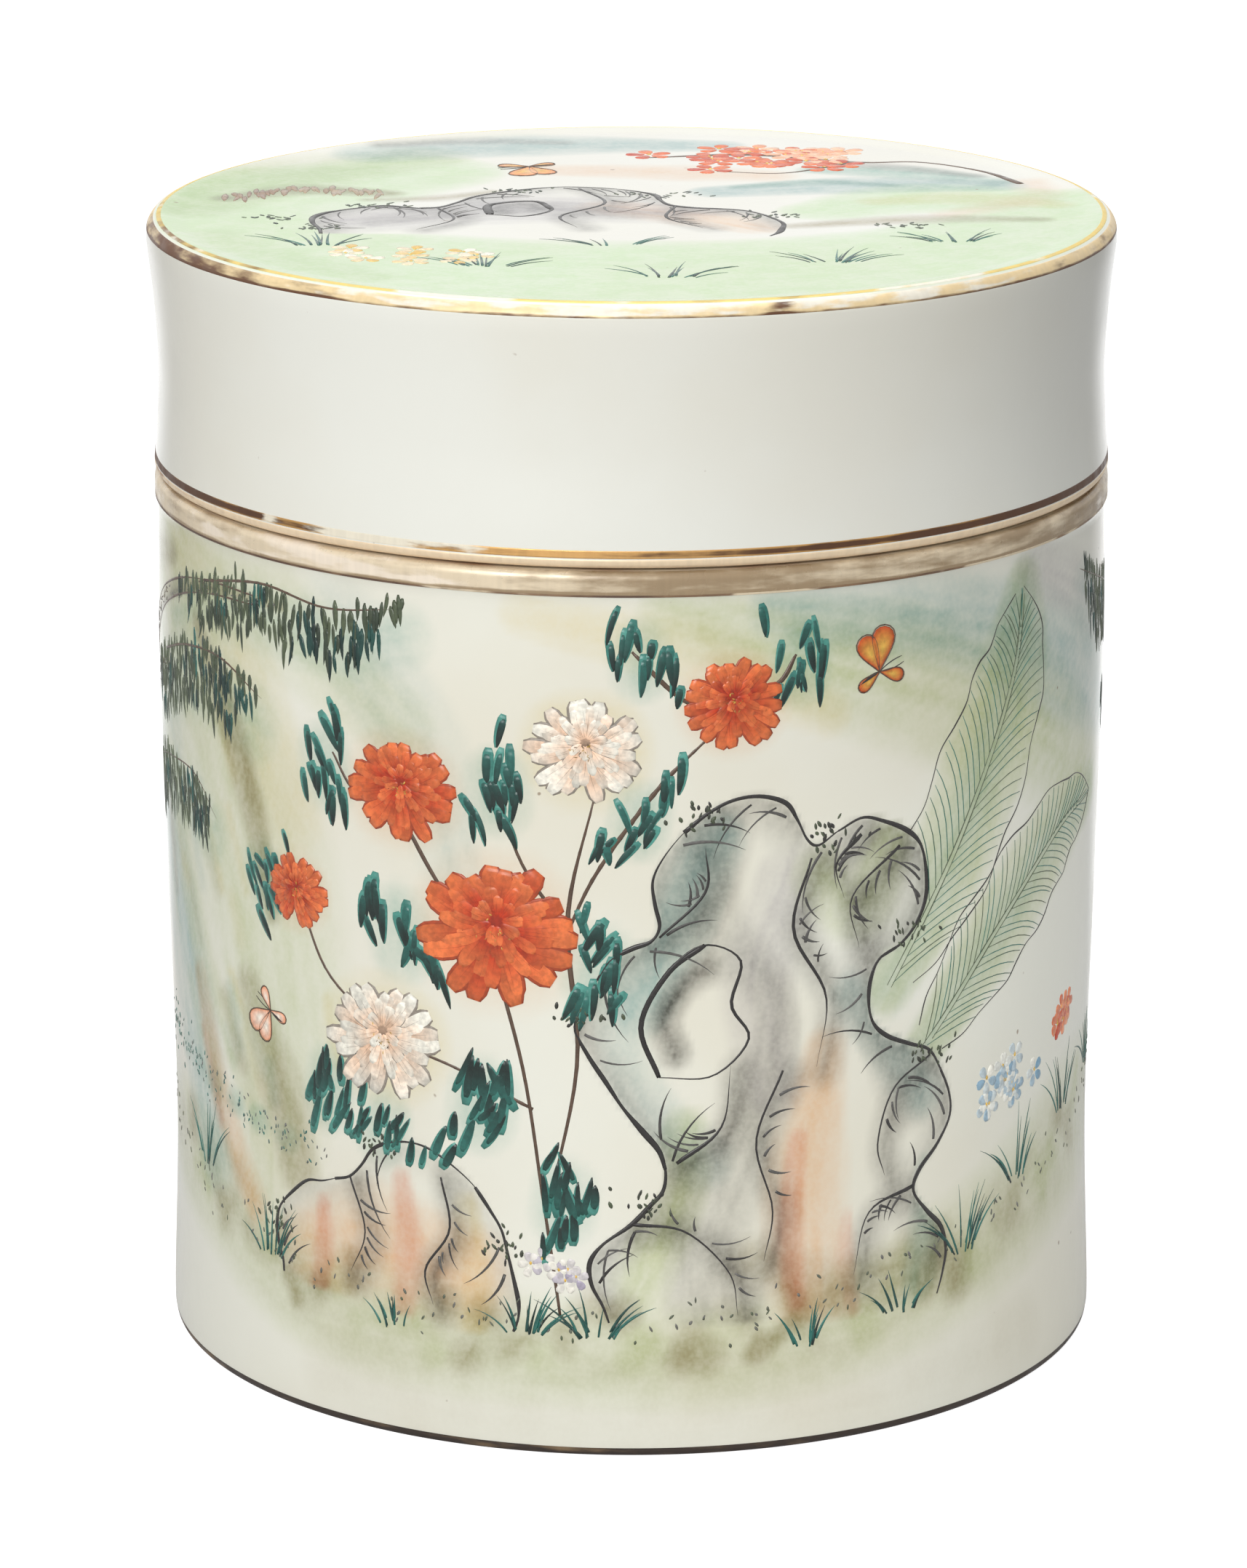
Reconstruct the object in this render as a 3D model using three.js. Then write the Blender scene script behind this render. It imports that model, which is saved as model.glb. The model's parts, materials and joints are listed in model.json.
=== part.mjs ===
// A cylindrical porcelain jar with a flat-topped cap lid.
// The jar stands on a turned foot ring and carries an upright collar inside its shoulder.
// The lid drops over the collar and rests on the shoulder, so both walls line up outside.
// Units are millimetres, +Z is up, and the origin is the centre of the foot ring's seat.

import * as THREE from "three";

// Overall sizes: the shoulder band is as wide as the lid's rim above it
const BAND_RADIUS = 54.3;
const SHOULDER_HEIGHT = 100.8;
const LID_HEIGHT = 28.9;

// The jar's outer wall. An inset is how far a place stands inside the shoulder band.
const FOOT_INSET = 0.7;
const FOOT_SWELL_INSET = 0.6;
const FOOT_SWELL_HEIGHT = 3.7;
const WAIST_INSET = 1.2;
const WAIST_HEIGHT = 25.0;
const CHEST_INSET = 0.15;
const CHEST_DROP = 18.0; // below the band
const MIDDLE_DROP = 2.0; // the wall passes its mean radius this far below halfway
const UNDER_BAND_INSET = 0.35;
const BAND_HEIGHT = 2.8;
const BAND_STEP = 0.7;

// The jar's hollow, floor and foot ring
const JAR_WALL = 4.6;
const FLOOR_THICKNESS = 5.2;
const FLOOR_CORNER_RADIUS = 7.0;
const FLOOR_CROWN = 0.6; // the floor and the recess under it rise this much to the middle
const LOW_WALL_EXTRA = 0.6; // the wall is this much thicker near the floor
const SHOULDER_SLOPE = 9.0; // height over which the hollow draws in to the collar
const FOOT_RING_WIDTH = 5.4;
const FOOT_RECESS_DEPTH = 3.4;
const FOOT_RECESS_CORNER = 1.6;
const SEAT_BEVEL = 0.7;

// The collar inside the shoulder
const COLLAR_HEIGHT = 9.2;
const COLLAR_WALL = 3.8;
const COLLAR_ROOT_RADIUS = 0.8;

// The lid. An inset is again measured from the shoulder band, and the flare stands outside it.
const LID_RIM_WALL = 4.2;
const LID_WALL = 4.4;
const LID_TOP_THICKNESS = 4.8;
const LID_WAIST_INSET = 0.58;
const LID_WAIST_HEIGHT = 12.0;
const LID_FLARE = 0.55;
const LID_FLARE_DROP = 2.9; // below the top
const LID_LOW_HOLLOW = 0.08; // the wall stands this much inside its mean radius, below the waist
const LID_HIGH_HOLLOW = 0.2; // and this much above the waist
const LID_INSIDE_CORNER = 5.0;
const LID_EDGE_ROUND = 1.9;
const LID_DISH_DEPTH = 0.35;
const LID_DISH_INSET = 3.8;

// Clearances between lid and jar
const COLLAR_CLEARANCE = 0.7;
const SEAM_GAP = 0.3;
const REBATE_HEADROOM = 1.6; // between the collar's lip and the step inside the lid

// Roundness of small edges, and how finely curves are divided
const LIP_ROUND = 0.9;
const TURN_STEPS = 64;
const WALL_STEPS = 14;
const HOLLOW_STEPS = 7;
const CORNER_STEPS = 4;
const ROOT_STEPS = 2;
const CIRCLE_PULL = 0.5523; // share of each leg that makes a cubic curve follow a circle

const GLAZE_COLOUR = 0xe6e5da;
const GLAZE_ROUGHNESS = 0.16;

// Heights that follow from the sizes above
const bandBottom = SHOULDER_HEIGHT - BAND_HEIGHT;
const chestHeight = bandBottom - CHEST_DROP;
const floorHeight = FOOT_RECESS_DEPTH + FLOOR_THICKNESS;
const collarTop = SHOULDER_HEIGHT + COLLAR_HEIGHT;
const lidSeat = SHOULDER_HEIGHT + SEAM_GAP;
const lidTop = lidSeat + LID_HEIGHT;
const rebateTop = collarTop + SEAM_GAP + REBATE_HEADROOM;

// Radii that follow from the sizes above
const footRadius = BAND_RADIUS - FOOT_INSET;
const waistRadius = BAND_RADIUS - WAIST_INSET;
const chestRadius = BAND_RADIUS - CHEST_INSET;
const underBandRadius = BAND_RADIUS - UNDER_BAND_INSET;
const ringInner = footRadius - FOOT_RING_WIDTH;
const lidSeatInner = BAND_RADIUS - LID_RIM_WALL;
const lidWaistRadius = BAND_RADIUS - LID_WAIST_INSET;
const lidFlareRadius = BAND_RADIUS + LID_FLARE;
const collarOuter = lidSeatInner - COLLAR_CLEARANCE;
const collarInner = collarOuter - COLLAR_WALL;

/** The number halfway between two. */
function middle(first, second) {
  return (first + second) / 2;
}

/**
 * A half profile that is drawn from straight runs, smooth walls and round corners.
 * Its points are (radius, height), and it runs anticlockwise so that the turned faces point out.
 */
class Profile {
  /** Starts at a radius and a height. */
  constructor(radius, height) {
    this.points = [new THREE.Vector2(radius, height)];
  }

  /** Adds a straight run to the given place. */
  line(radius, height) {
    this.points.push(new THREE.Vector2(radius, height));
    return this;
  }

  /** Adds a smooth wall through the given [radius, height] places, starting at the last point. */
  wall(places, steps) {
    const start = this.points.at(-1);
    const through = [start, ...places.map(([radius, height]) => new THREE.Vector2(radius, height))];
    const curve = new THREE.SplineCurve(through);
    this.points.push(...curve.getPoints(steps).slice(1));
    return this;
  }

  /** Adds an arc to the given place that rounds off the corner before it. */
  corner(cornerRadius, cornerHeight, radius, height, steps = CORNER_STEPS) {
    const start = this.points.at(-1);
    const corner = new THREE.Vector2(cornerRadius, cornerHeight);
    const end = new THREE.Vector2(radius, height);
    const curve = new THREE.CubicBezierCurve(
      start,
      start.clone().lerp(corner, CIRCLE_PULL),
      end.clone().lerp(corner, CIRCLE_PULL),
      end,
    );
    this.points.push(...curve.getPoints(steps).slice(1));
    return this;
  }

  /** Turns the profile about +Z. */
  turned() {
    const shape = new THREE.LatheGeometry(this.points, TURN_STEPS);
    shape.rotateX(Math.PI / 2); // the lathe turns about +Y
    return shape;
  }
}

/** Adds the recessed base and the foot ring, from the axis out to the foot of the wall. */
function addFoot(profile) {
  return profile
    .line(ringInner - FOOT_RECESS_CORNER, FOOT_RECESS_DEPTH)
    .corner(ringInner, FOOT_RECESS_DEPTH, ringInner, FOOT_RECESS_DEPTH - FOOT_RECESS_CORNER)
    .line(ringInner, SEAT_BEVEL)
    .line(ringInner + SEAT_BEVEL, 0)
    .line(footRadius - SEAT_BEVEL, 0)
    .corner(footRadius, 0, footRadius, SEAT_BEVEL);
}

/** Adds the outer wall: swelling at the foot, waisted, full at the chest, up to the shoulder band. */
function addWall(profile) {
  return profile.wall(
    [
      [BAND_RADIUS - FOOT_SWELL_INSET, FOOT_SWELL_HEIGHT],
      [waistRadius, WAIST_HEIGHT],
      [middle(waistRadius, chestRadius), middle(WAIST_HEIGHT, chestHeight) - MIDDLE_DROP],
      [chestRadius, chestHeight],
      [underBandRadius, bandBottom - BAND_STEP],
    ],
    WALL_STEPS,
  );
}

/** Adds the shoulder band with its soft lip, the ledge that carries the lid, and the collar. */
function addShoulder(profile) {
  return profile
    .line(BAND_RADIUS, bandBottom)
    .line(BAND_RADIUS, SHOULDER_HEIGHT - LIP_ROUND)
    .corner(BAND_RADIUS, SHOULDER_HEIGHT, BAND_RADIUS - LIP_ROUND, SHOULDER_HEIGHT)
    .line(collarOuter + COLLAR_ROOT_RADIUS, SHOULDER_HEIGHT)
    .corner(collarOuter, SHOULDER_HEIGHT, collarOuter, SHOULDER_HEIGHT + COLLAR_ROOT_RADIUS, ROOT_STEPS)
    .line(collarOuter, collarTop - LIP_ROUND)
    .corner(collarOuter, collarTop, collarOuter - LIP_ROUND, collarTop)
    .line(collarInner + LIP_ROUND, collarTop)
    .corner(collarInner, collarTop, collarInner, collarTop - LIP_ROUND);
}

/** Adds the hollow, from the collar down the wall to the middle of the floor. */
function addHollow(profile) {
  const inner = underBandRadius - JAR_WALL;
  const lowInner = inner - LOW_WALL_EXTRA;
  return profile
    .line(collarInner, bandBottom)
    .wall(
      [
        [inner, bandBottom - SHOULDER_SLOPE],
        [inner, middle(bandBottom, floorHeight)],
        [lowInner, floorHeight + FLOOR_CORNER_RADIUS],
      ],
      HOLLOW_STEPS,
    )
    .corner(lowInner, floorHeight, lowInner - FLOOR_CORNER_RADIUS, floorHeight)
    .line(0, floorHeight + FLOOR_CROWN);
}

/** The jar: foot ring, recessed base, wall with its shoulder band, collar and hollow. */
function jarGeometry() {
  const profile = new Profile(0, FOOT_RECESS_DEPTH + FLOOR_CROWN);
  addFoot(profile);
  addWall(profile);
  addShoulder(profile);
  addHollow(profile);
  return profile.turned();
}

/** Adds the lid's ceiling, its inner wall and the rebate that clears the collar. */
function addLidInside(profile) {
  const inner = lidWaistRadius - LID_WALL;
  const ceiling = lidTop - LID_TOP_THICKNESS;
  return profile
    .line(inner - LID_INSIDE_CORNER, ceiling)
    .corner(inner, ceiling, inner, ceiling - LID_INSIDE_CORNER)
    .line(inner, rebateTop + LIP_ROUND)
    .line(lidSeatInner, rebateTop)
    .line(lidSeatInner, lidSeat + LIP_ROUND / 2)
    .line(lidSeatInner + LIP_ROUND / 2, lidSeat);
}

/** Adds the lid's rim, its waisted wall that flares to the top, and the rounded top edge. */
function addLidWall(profile) {
  const waistAt = lidSeat + LID_WAIST_HEIGHT;
  const flareAt = lidTop - LID_FLARE_DROP;
  return profile
    .line(BAND_RADIUS - LIP_ROUND, lidSeat)
    .corner(BAND_RADIUS, lidSeat, BAND_RADIUS, lidSeat + LIP_ROUND)
    .wall(
      [
        [middle(BAND_RADIUS, lidWaistRadius) - LID_LOW_HOLLOW, middle(lidSeat, waistAt)],
        [lidWaistRadius, waistAt],
        [middle(lidWaistRadius, lidFlareRadius) - LID_HIGH_HOLLOW, middle(waistAt, flareAt)],
        [lidFlareRadius, flareAt],
      ],
      WALL_STEPS,
    )
    .line(lidFlareRadius, lidTop - LID_EDGE_ROUND)
    .corner(lidFlareRadius, lidTop, lidFlareRadius - LID_EDGE_ROUND, lidTop);
}

/** The lid: a shallow cap with a waisted wall, a rounded edge and a faintly dished top. */
function lidGeometry() {
  const profile = new Profile(0, lidTop - LID_TOP_THICKNESS);
  addLidInside(profile);
  addLidWall(profile);
  profile.line(BAND_RADIUS - LID_DISH_INSET, lidTop - LID_DISH_DEPTH).line(0, lidTop - LID_DISH_DEPTH);
  return profile.turned();
}

/** A named mesh in white glaze. */
function porcelainPiece(name, geometry) {
  const glaze = new THREE.MeshStandardMaterial({
    color: GLAZE_COLOUR,
    roughness: GLAZE_ROUGHNESS,
    metalness: 0,
  });
  const piece = new THREE.Mesh(geometry, glaze);
  piece.name = name;
  return piece;
}

const liddedJar = new THREE.Group();
liddedJar.add(porcelainPiece("jar_body", jarGeometry()));
liddedJar.add(porcelainPiece("lid", lidGeometry()));

export default liddedJar;
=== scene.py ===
"""A lidded porcelain jar: smooth glaze, worn gilding and a garden painted over the glaze.

Lengths are in millimetres until a mesh is made, and in metres in Blender. The axes are the frame's:
+Z is up and the front of the jar faces -Y. Places on the jar's wall are (along, height), where along
is the distance round the wall from the front, positive to the right. Places on the lid's top are (x, y).
"""

import json
import logging
import math
from dataclasses import dataclass, field
from enum import Enum

import bpy
import numpy as np
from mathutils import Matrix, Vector

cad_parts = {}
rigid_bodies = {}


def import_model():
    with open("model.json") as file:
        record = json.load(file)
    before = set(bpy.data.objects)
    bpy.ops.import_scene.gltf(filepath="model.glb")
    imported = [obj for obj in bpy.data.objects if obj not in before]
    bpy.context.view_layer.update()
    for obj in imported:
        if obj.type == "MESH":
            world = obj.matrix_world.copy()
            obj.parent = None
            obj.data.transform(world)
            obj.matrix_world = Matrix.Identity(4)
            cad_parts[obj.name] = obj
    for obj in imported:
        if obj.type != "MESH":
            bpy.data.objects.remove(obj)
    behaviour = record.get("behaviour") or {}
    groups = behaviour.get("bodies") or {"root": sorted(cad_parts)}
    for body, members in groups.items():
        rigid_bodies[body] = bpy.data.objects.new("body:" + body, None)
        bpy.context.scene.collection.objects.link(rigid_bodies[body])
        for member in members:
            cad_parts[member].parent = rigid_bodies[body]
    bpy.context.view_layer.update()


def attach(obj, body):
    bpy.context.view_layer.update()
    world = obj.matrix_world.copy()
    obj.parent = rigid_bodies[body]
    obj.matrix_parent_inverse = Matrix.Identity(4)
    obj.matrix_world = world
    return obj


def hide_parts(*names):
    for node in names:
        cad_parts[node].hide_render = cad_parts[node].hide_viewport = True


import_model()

Array = np.ndarray
Values = np.ndarray | float
Trio = tuple[float, float, float]
Rgb = Trio
Place = tuple[float, float]
Places = list[Place] | tuple[Place, ...] | Array
Material = bpy.types.Material
Piece = bpy.types.Object
Socket = bpy.types.NodeSocket

LOG = logging.getLogger("lidded_jar")
MM = 0.001  # one millimetre in metres
FULL_TURN = 2 * math.pi
TINY = 1e-9  # keeps divisions away from zero
CIRCLE_PULL = 0.5523  # share of each leg that makes a cubic curve follow a circle
BRUSH_TIP = 0.015  # how near a stroke's ends its width is last read, as a share of its length
GRAIN_TABLE = 64  # how many random values the grain has each way
GRAIN_LAYERS = ((1.0, 0.65), (2.3, 0.35))  # how fine each of its layers is, and its weight
LINE_HEIGHT = 0.05  # how far a drawn line stands out of the glaze
FINE_HEIGHT = 0.045  # the same for hatching and a leaf's ribs
PAINT_HEIGHT = 0.06  # the same for leaves, dots and flowers
THINNEST = 0.04  # the least width of a stroke
NEEDLE_GAP = 0.62  # how far apart the needles of a fringe hang
WHITE = (1, 1, 1, 1)


def linear(red: float, green: float, blue: float) -> Rgb:
    """Turns display values from 0 to 255 into the linear colour that shaders use."""
    shown = np.array([red, green, blue]) / 255.0
    return tuple(np.where(shown <= 0.04045, shown / 12.92, ((shown + 0.055) / 1.055) ** 2.4).tolist())


INK = linear(46, 43, 42)
INK_GREY = linear(112, 110, 106)
INK_BROWN = linear(92, 72, 58)
LEAF_DARK = linear(24, 40, 36)
LEAF_TEAL = linear(46, 112, 102)
LEAF_AQUA = linear(96, 166, 152)
LEAF_OLIVE = linear(84, 94, 70)
IRON_RED = linear(190, 56, 22)
IRON_ORANGE = linear(234, 122, 68)
IRON_DEEP = linear(140, 38, 20)
ORANGE_PALE = linear(242, 158, 112)
PETAL_WHITE = linear(246, 242, 228)
PETAL_PEACH = linear(248, 208, 176)
YELLOW = linear(226, 184, 84)
SKY_BLUE = linear(128, 166, 190)
LILAC = linear(160, 150, 176)
EARTH_SHADES = (linear(150, 124, 102), linear(174, 154, 128), linear(140, 130, 110))
LEAF_SHADES = (LEAF_DARK, LEAF_TEAL)


class Body(Enum):
    """The two bodies of the frame, each with the name of a material slot."""

    JAR = ("jar", "jar_glaze")
    LID = ("lid", "lid_glaze")


class Hue(Enum):
    """The pigments of the thin washes, each with its colour on the glaze at full strength."""

    GREEN = linear(206, 216, 172)
    MINT = linear(212, 240, 196)
    SEA = linear(172, 202, 206)
    EARTH = linear(174, 162, 126)
    PEACH = linear(248, 206, 170)
    RED = linear(232, 132, 84)
    INK = linear(112, 110, 106)
    TEAL = linear(128, 188, 178)
    YELLOW = linear(240, 220, 150)
    LILAC = linear(192, 187, 198)

    def attribute(self) -> str:
        """Returns the name of the attribute that holds this wash."""
        return "wash_" + self.name.lower()


class Section(Enum):
    """Cross-sections of a stroke: how far across each point lies, and how high."""

    FINE = ((1.0, 0.0, -1.0), (-0.5, 1.0, -0.5))
    BROAD = ((1.0, 0.72, 0.0, -0.72, -1.0), (-0.5, 0.72, 1.0, 0.72, -0.5))


class Touch(Enum):
    """How the brush presses along a stroke: the powers of t and of 1 - t in its width."""

    LEAF = (0.65, 0.75)
    LINE = (0.16, 0.2)
    TAIL = (0.12, 0.85)
    FINGER = (0.55, 0.25)
    DOT = (0.3, 0.4)
    NEEDLE = (0.45, 0.8)

    def press(self, steps: int) -> Array:
        """Gives the width at even steps: t^a (1 - t)^b, scaled to 1 at its widest.

        Args:
            steps: the number of points.

        Returns:
            Shares of the stroke's full width.
        """
        t = np.linspace(BRUSH_TIP, 1 - BRUSH_TIP, steps)
        width = t ** self.value[0] * (1 - t) ** self.value[1]
        return width / width.max()


def smooth_step(value: Array, start: float, end: float) -> Array:
    """Rises from 0 at start to 1 at end along the cubic 3t^2 - 2t^3."""
    share = np.clip((value - start) / (end - start), 0.0, 1.0)
    return share * share * (3.0 - 2.0 * share)


def headed(degrees: Array | float) -> Array:
    """Returns unit vectors that point at angles from the first axis."""
    return np.stack([np.cos(np.radians(degrees)), np.sin(np.radians(degrees))], axis=-1)


def circle(count: int) -> Array:
    """Returns places evenly round a circle of radius 1, anticlockwise."""
    return headed(np.arange(count) * 360.0 / count)


def left_of(ways: Array) -> Array:
    """Turns vectors a quarter to the left: (x, y) becomes (-y, x)."""
    return np.stack([-ways[..., 1], ways[..., 0]], axis=-1)


def directions(lines: Array) -> Array:
    """Returns the unit direction at every point of a line, or of many lines at once."""
    run = np.gradient(lines, axis=-2)
    return run / np.maximum(np.linalg.norm(run, axis=-1, keepdims=True), TINY)


def evened(values: list[float], steps: int) -> Array:
    """Reads values at even steps from the first to the last, along straight lines between them."""
    return np.interp(np.linspace(0, len(values) - 1, steps), np.arange(len(values)), values)


def curve_through(places: Places, steps: int) -> Array:
    """Draws a smooth line through places: a Catmull-Rom curve at even parameters.

    Args:
        places: two places or more.
        steps: the number of points.

    Returns:
        The points.
    """
    knots = np.array(places, float)
    padded = np.vstack([2 * knots[0] - knots[1], knots, 2 * knots[-1] - knots[-2]])
    at = np.linspace(0.0, len(knots) - 1.0, steps)
    span = np.minimum(at.astype(int), len(knots) - 2)
    share = (at - span)[:, None]
    before, start, end, after = (padded[span + k] for k in range(4))
    return 0.5 * (
        2 * start
        + (end - before) * share
        + (2 * before - 5 * start + 4 * end - after) * share**2
        + (3 * start - before - 3 * end + after) * share**3
    )


def bent_paths(starts: Places, headings: Values, lengths: Values, bends: Values, steps: int) -> Array:
    """Draws many strokes at once: each sets out on a heading and turns evenly by its bend.

    Args:
        starts, lengths: where they start and how long they are.
        headings, bends: which way they set out and how far they turn, in degrees.
        steps: the number of points in each.

    Returns:
        An array of (strokes, steps, 2) places.
    """
    first, turn, far = (np.broadcast_to(some, len(starts))[:, None] for some in (headings, bends, lengths))
    moves = headed(first + turn * np.linspace(0.0, 1.0, steps)) * (far / (steps - 1))[..., None]
    moves[:, 0] = 0.0
    return np.asarray(starts, float)[:, None] + np.cumsum(moves, axis=1)


def between(first: Rgb, second: Rgb, shares: Array) -> Array:
    """Mixes two colours: one row for each share, from the first at 0 to the second at 1."""
    return np.array(first) + (np.array(second) - np.array(first)) * np.clip(shares, 0, 1)[..., None]


def grain(across: Array, along: Array, seed: int) -> Array:
    """Draws smooth noise: random values at whole numbers, blended between them, in layers.

    Args:
        across, along: where to read it, in steps of the coarsest layer.
        seed: which noise it is.

    Returns:
        Values from 0 to 1.
    """
    table = np.random.default_rng(seed).random((GRAIN_TABLE, GRAIN_TABLE))
    total = np.zeros(len(across))
    for size, weight in GRAIN_LAYERS:
        column, row = across * size, along * size
        left, low = np.floor(column).astype(int), np.floor(row).astype(int)
        x, y = smooth_step(column - left, 0, 1), smooth_step(row - low, 0, 1)
        near, far = (
            [table[(left + i) % GRAIN_TABLE, (low + j) % GRAIN_TABLE] for j in (0, 1)] for i in (0, 1)
        )
        start, end = near[0] * (1 - y) + near[1] * y, far[0] * (1 - y) + far[1] * y
        total += weight * (start * (1 - x) + end * x)
    return total


def covered(places: Array, outline: Array, soft: float = 0.45) -> Array:
    """Tells how far places lie inside an outline, from 0 outside to 1 inside, soft at the edge.

    A place is inside where a ray to the right crosses the outline an odd number of times. Its distance
    from the nearest side, negative outside, is mapped smoothly from -soft..soft to 0..1.

    Args:
        places: the places, one to a row.
        outline: the outline's corners.
        soft: half the soft edge's width.

    Returns:
        One share for each place.
    """
    share = np.zeros(len(places))
    near = np.all((places > outline.min(0) - soft) & (places < outline.max(0) + soft), axis=1)
    start, run = outline, np.roll(outline, -1, axis=0) - outline
    offset = places[near][:, None] - start
    climb = offset[..., 1] / np.where(run[:, 1] == 0, TINY, run[:, 1])
    spans = (climb >= 0) & (climb < 1)
    inside = (spans & (climb * run[:, 0] > offset[..., 0])).sum(axis=1) % 2 == 1
    nearest = np.clip((offset * run).sum(-1) / np.maximum((run**2).sum(-1), TINY), 0, 1)
    away = np.linalg.norm(offset - nearest[..., None] * run, axis=-1).min(axis=1)
    share[near] = smooth_step(np.where(inside, away, -away), -soft, soft)
    return share


class Profile:
    """A half profile in (radius, height) places, running anticlockwise so that turned faces point out."""

    def __init__(self, radius: float, height: float) -> None:
        """Starts the profile at one place."""
        self.places = [(radius, height)]

    def add(self, places: Array) -> "Profile":
        """Adds places and returns the profile itself."""
        self.places += [tuple(place) for place in places]
        return self

    def line(self, radius: float, height: float, steps: int = 1) -> "Profile":
        """Adds a straight run of a number of steps, and returns the profile itself."""
        start = np.array(self.places[-1])
        return self.add(start + (np.array([radius, height]) - start) * np.linspace(0, 1, steps + 1)[1:, None])

    def wall(self, places: Places, steps: int) -> "Profile":
        """Adds a smooth wall from the last place through others, and returns the profile itself."""
        return self.add(curve_through([self.places[-1], *places], steps + 1)[1:])

    def corner(self, rounded: Place, end: Place, steps: int = 5) -> "Profile":
        """Adds an arc that rounds off a corner: a cubic curve pulled towards it from both ends.

        Args:
            rounded, end: where the sharp corner is, and where the arc ends.
            steps: the number of points on it.

        Returns:
            The profile itself.
        """
        start, tip, stop = (np.array(p) for p in (self.places[-1], rounded, end))
        first, second = start + (tip - start) * CIRCLE_PULL, stop + (tip - stop) * CIRCLE_PULL
        t = np.linspace(0, 1, steps + 1)[1:, None]
        s = 1 - t
        return self.add(start * s**3 + 3 * first * t * s**2 + 3 * second * t**2 * s + stop * t**3)

    def array(self) -> Array:
        """Returns the profile's places as an array of (radius, height) rows."""
        return np.array(self.places, float)


def ring_points(section: Array, angles: Array) -> Array:
    """Turns (radius, height) rows about Z, to rings of points (r sin a, -r cos a, z)."""
    radius, height = section[:, :1], section[:, 1:] + 0 * angles
    return np.stack([radius * np.sin(angles), -radius * np.cos(angles), height], axis=-1)


def tube_quads(index: Array) -> Array:
    """Joins rings of point numbers, each along the last axis, into quads along a new last axis."""
    after = np.roll(index, -1, axis=-1)
    return np.stack([index[..., :-1, :], after[..., :-1, :], after[..., 1:, :], index[..., 1:, :]], axis=-1)


def turned(profile: Array, angles: Array) -> tuple[Array, list]:
    """Turns a half profile about Z into a closed surface.

    Args:
        profile: (radius, height) rows that start and end on the axis.
        angles: the angles from the front, ascending over one turn.

    Returns:
        The points, with the two poles last, and the faces.
    """
    rows, columns = len(profile) - 2, len(angles)
    poles = np.array([[0, 0, profile[0, 1]], [0, 0, profile[-1, 1]]])
    points = np.vstack([ring_points(profile[1:-1], angles).reshape(-1, 3), poles])
    index = np.arange(rows * columns).reshape(rows, columns)
    after = np.roll(index, -1, axis=1)
    start = np.stack([np.full(columns, rows * columns), after[0], index[0]], axis=-1)
    end = np.stack([np.full(columns, rows * columns + 1), index[-1], after[-1]], axis=-1)
    return points, tube_quads(index).reshape(-1, 4).tolist() + start.tolist() + end.tolist()


def put_in_scene(name: str, points: Array, faces: list, material: Material) -> Piece:
    """Makes a smooth-shaded mesh object at the origin.

    Args:
        name, material: the piece's name and finish.
        points: its points, in millimetres.
        faces: its faces, as lists of point numbers.

    Returns:
        The new object.
    """
    mesh = bpy.data.meshes.new(name)
    mesh.from_pydata((points * MM).tolist(), [], faces)
    mesh.polygons.foreach_set("use_smooth", np.ones(len(mesh.polygons), bool))
    mesh.materials.append(material)
    mesh.update()
    piece = bpy.data.objects.new(name, mesh)
    bpy.context.scene.collection.objects.link(piece)
    return piece


def store_values(piece: Piece, name: str, values: Array) -> None:
    """Stores one number for each point of a piece, under an attribute name."""
    layer = piece.data.attributes.new(name, "FLOAT", "POINT")
    layer.data.foreach_set("value", np.asarray(values, np.float32).ravel())


def hand_over(piece: Piece, body: Body) -> None:
    """Makes a piece ride on a body, and logs its faces.

    Args:
        piece, body: the piece and its body.
    """
    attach(piece, body.value[0])
    LOG.info("%s: %d faces on %s", piece.name, len(piece.data.polygons), body.value[0])


@dataclass(frozen=True)
class Pattern:
    """Soft noise on a piece's own coordinates, with a span of its values mapped smoothly to two levels.

    The scale is in blotches to a metre, the detail counts the finer layers, and the stretch tells how much
    closer together the blotches are along each axis.
    """

    scale: float
    detail: float = 2.0
    span: Place = (0.3, 0.7)
    levels: Place = (0.0, 1.0)
    stretch: Trio = (1, 1, 1)


@dataclass(frozen=True)
class Relief:
    """Soft noise that stands out of a surface, by a height in metres and with a strength from 0 to 1."""

    scale: float
    detail: float
    height: float
    strength: float
    stretch: Trio = (1, 1, 1)


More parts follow.
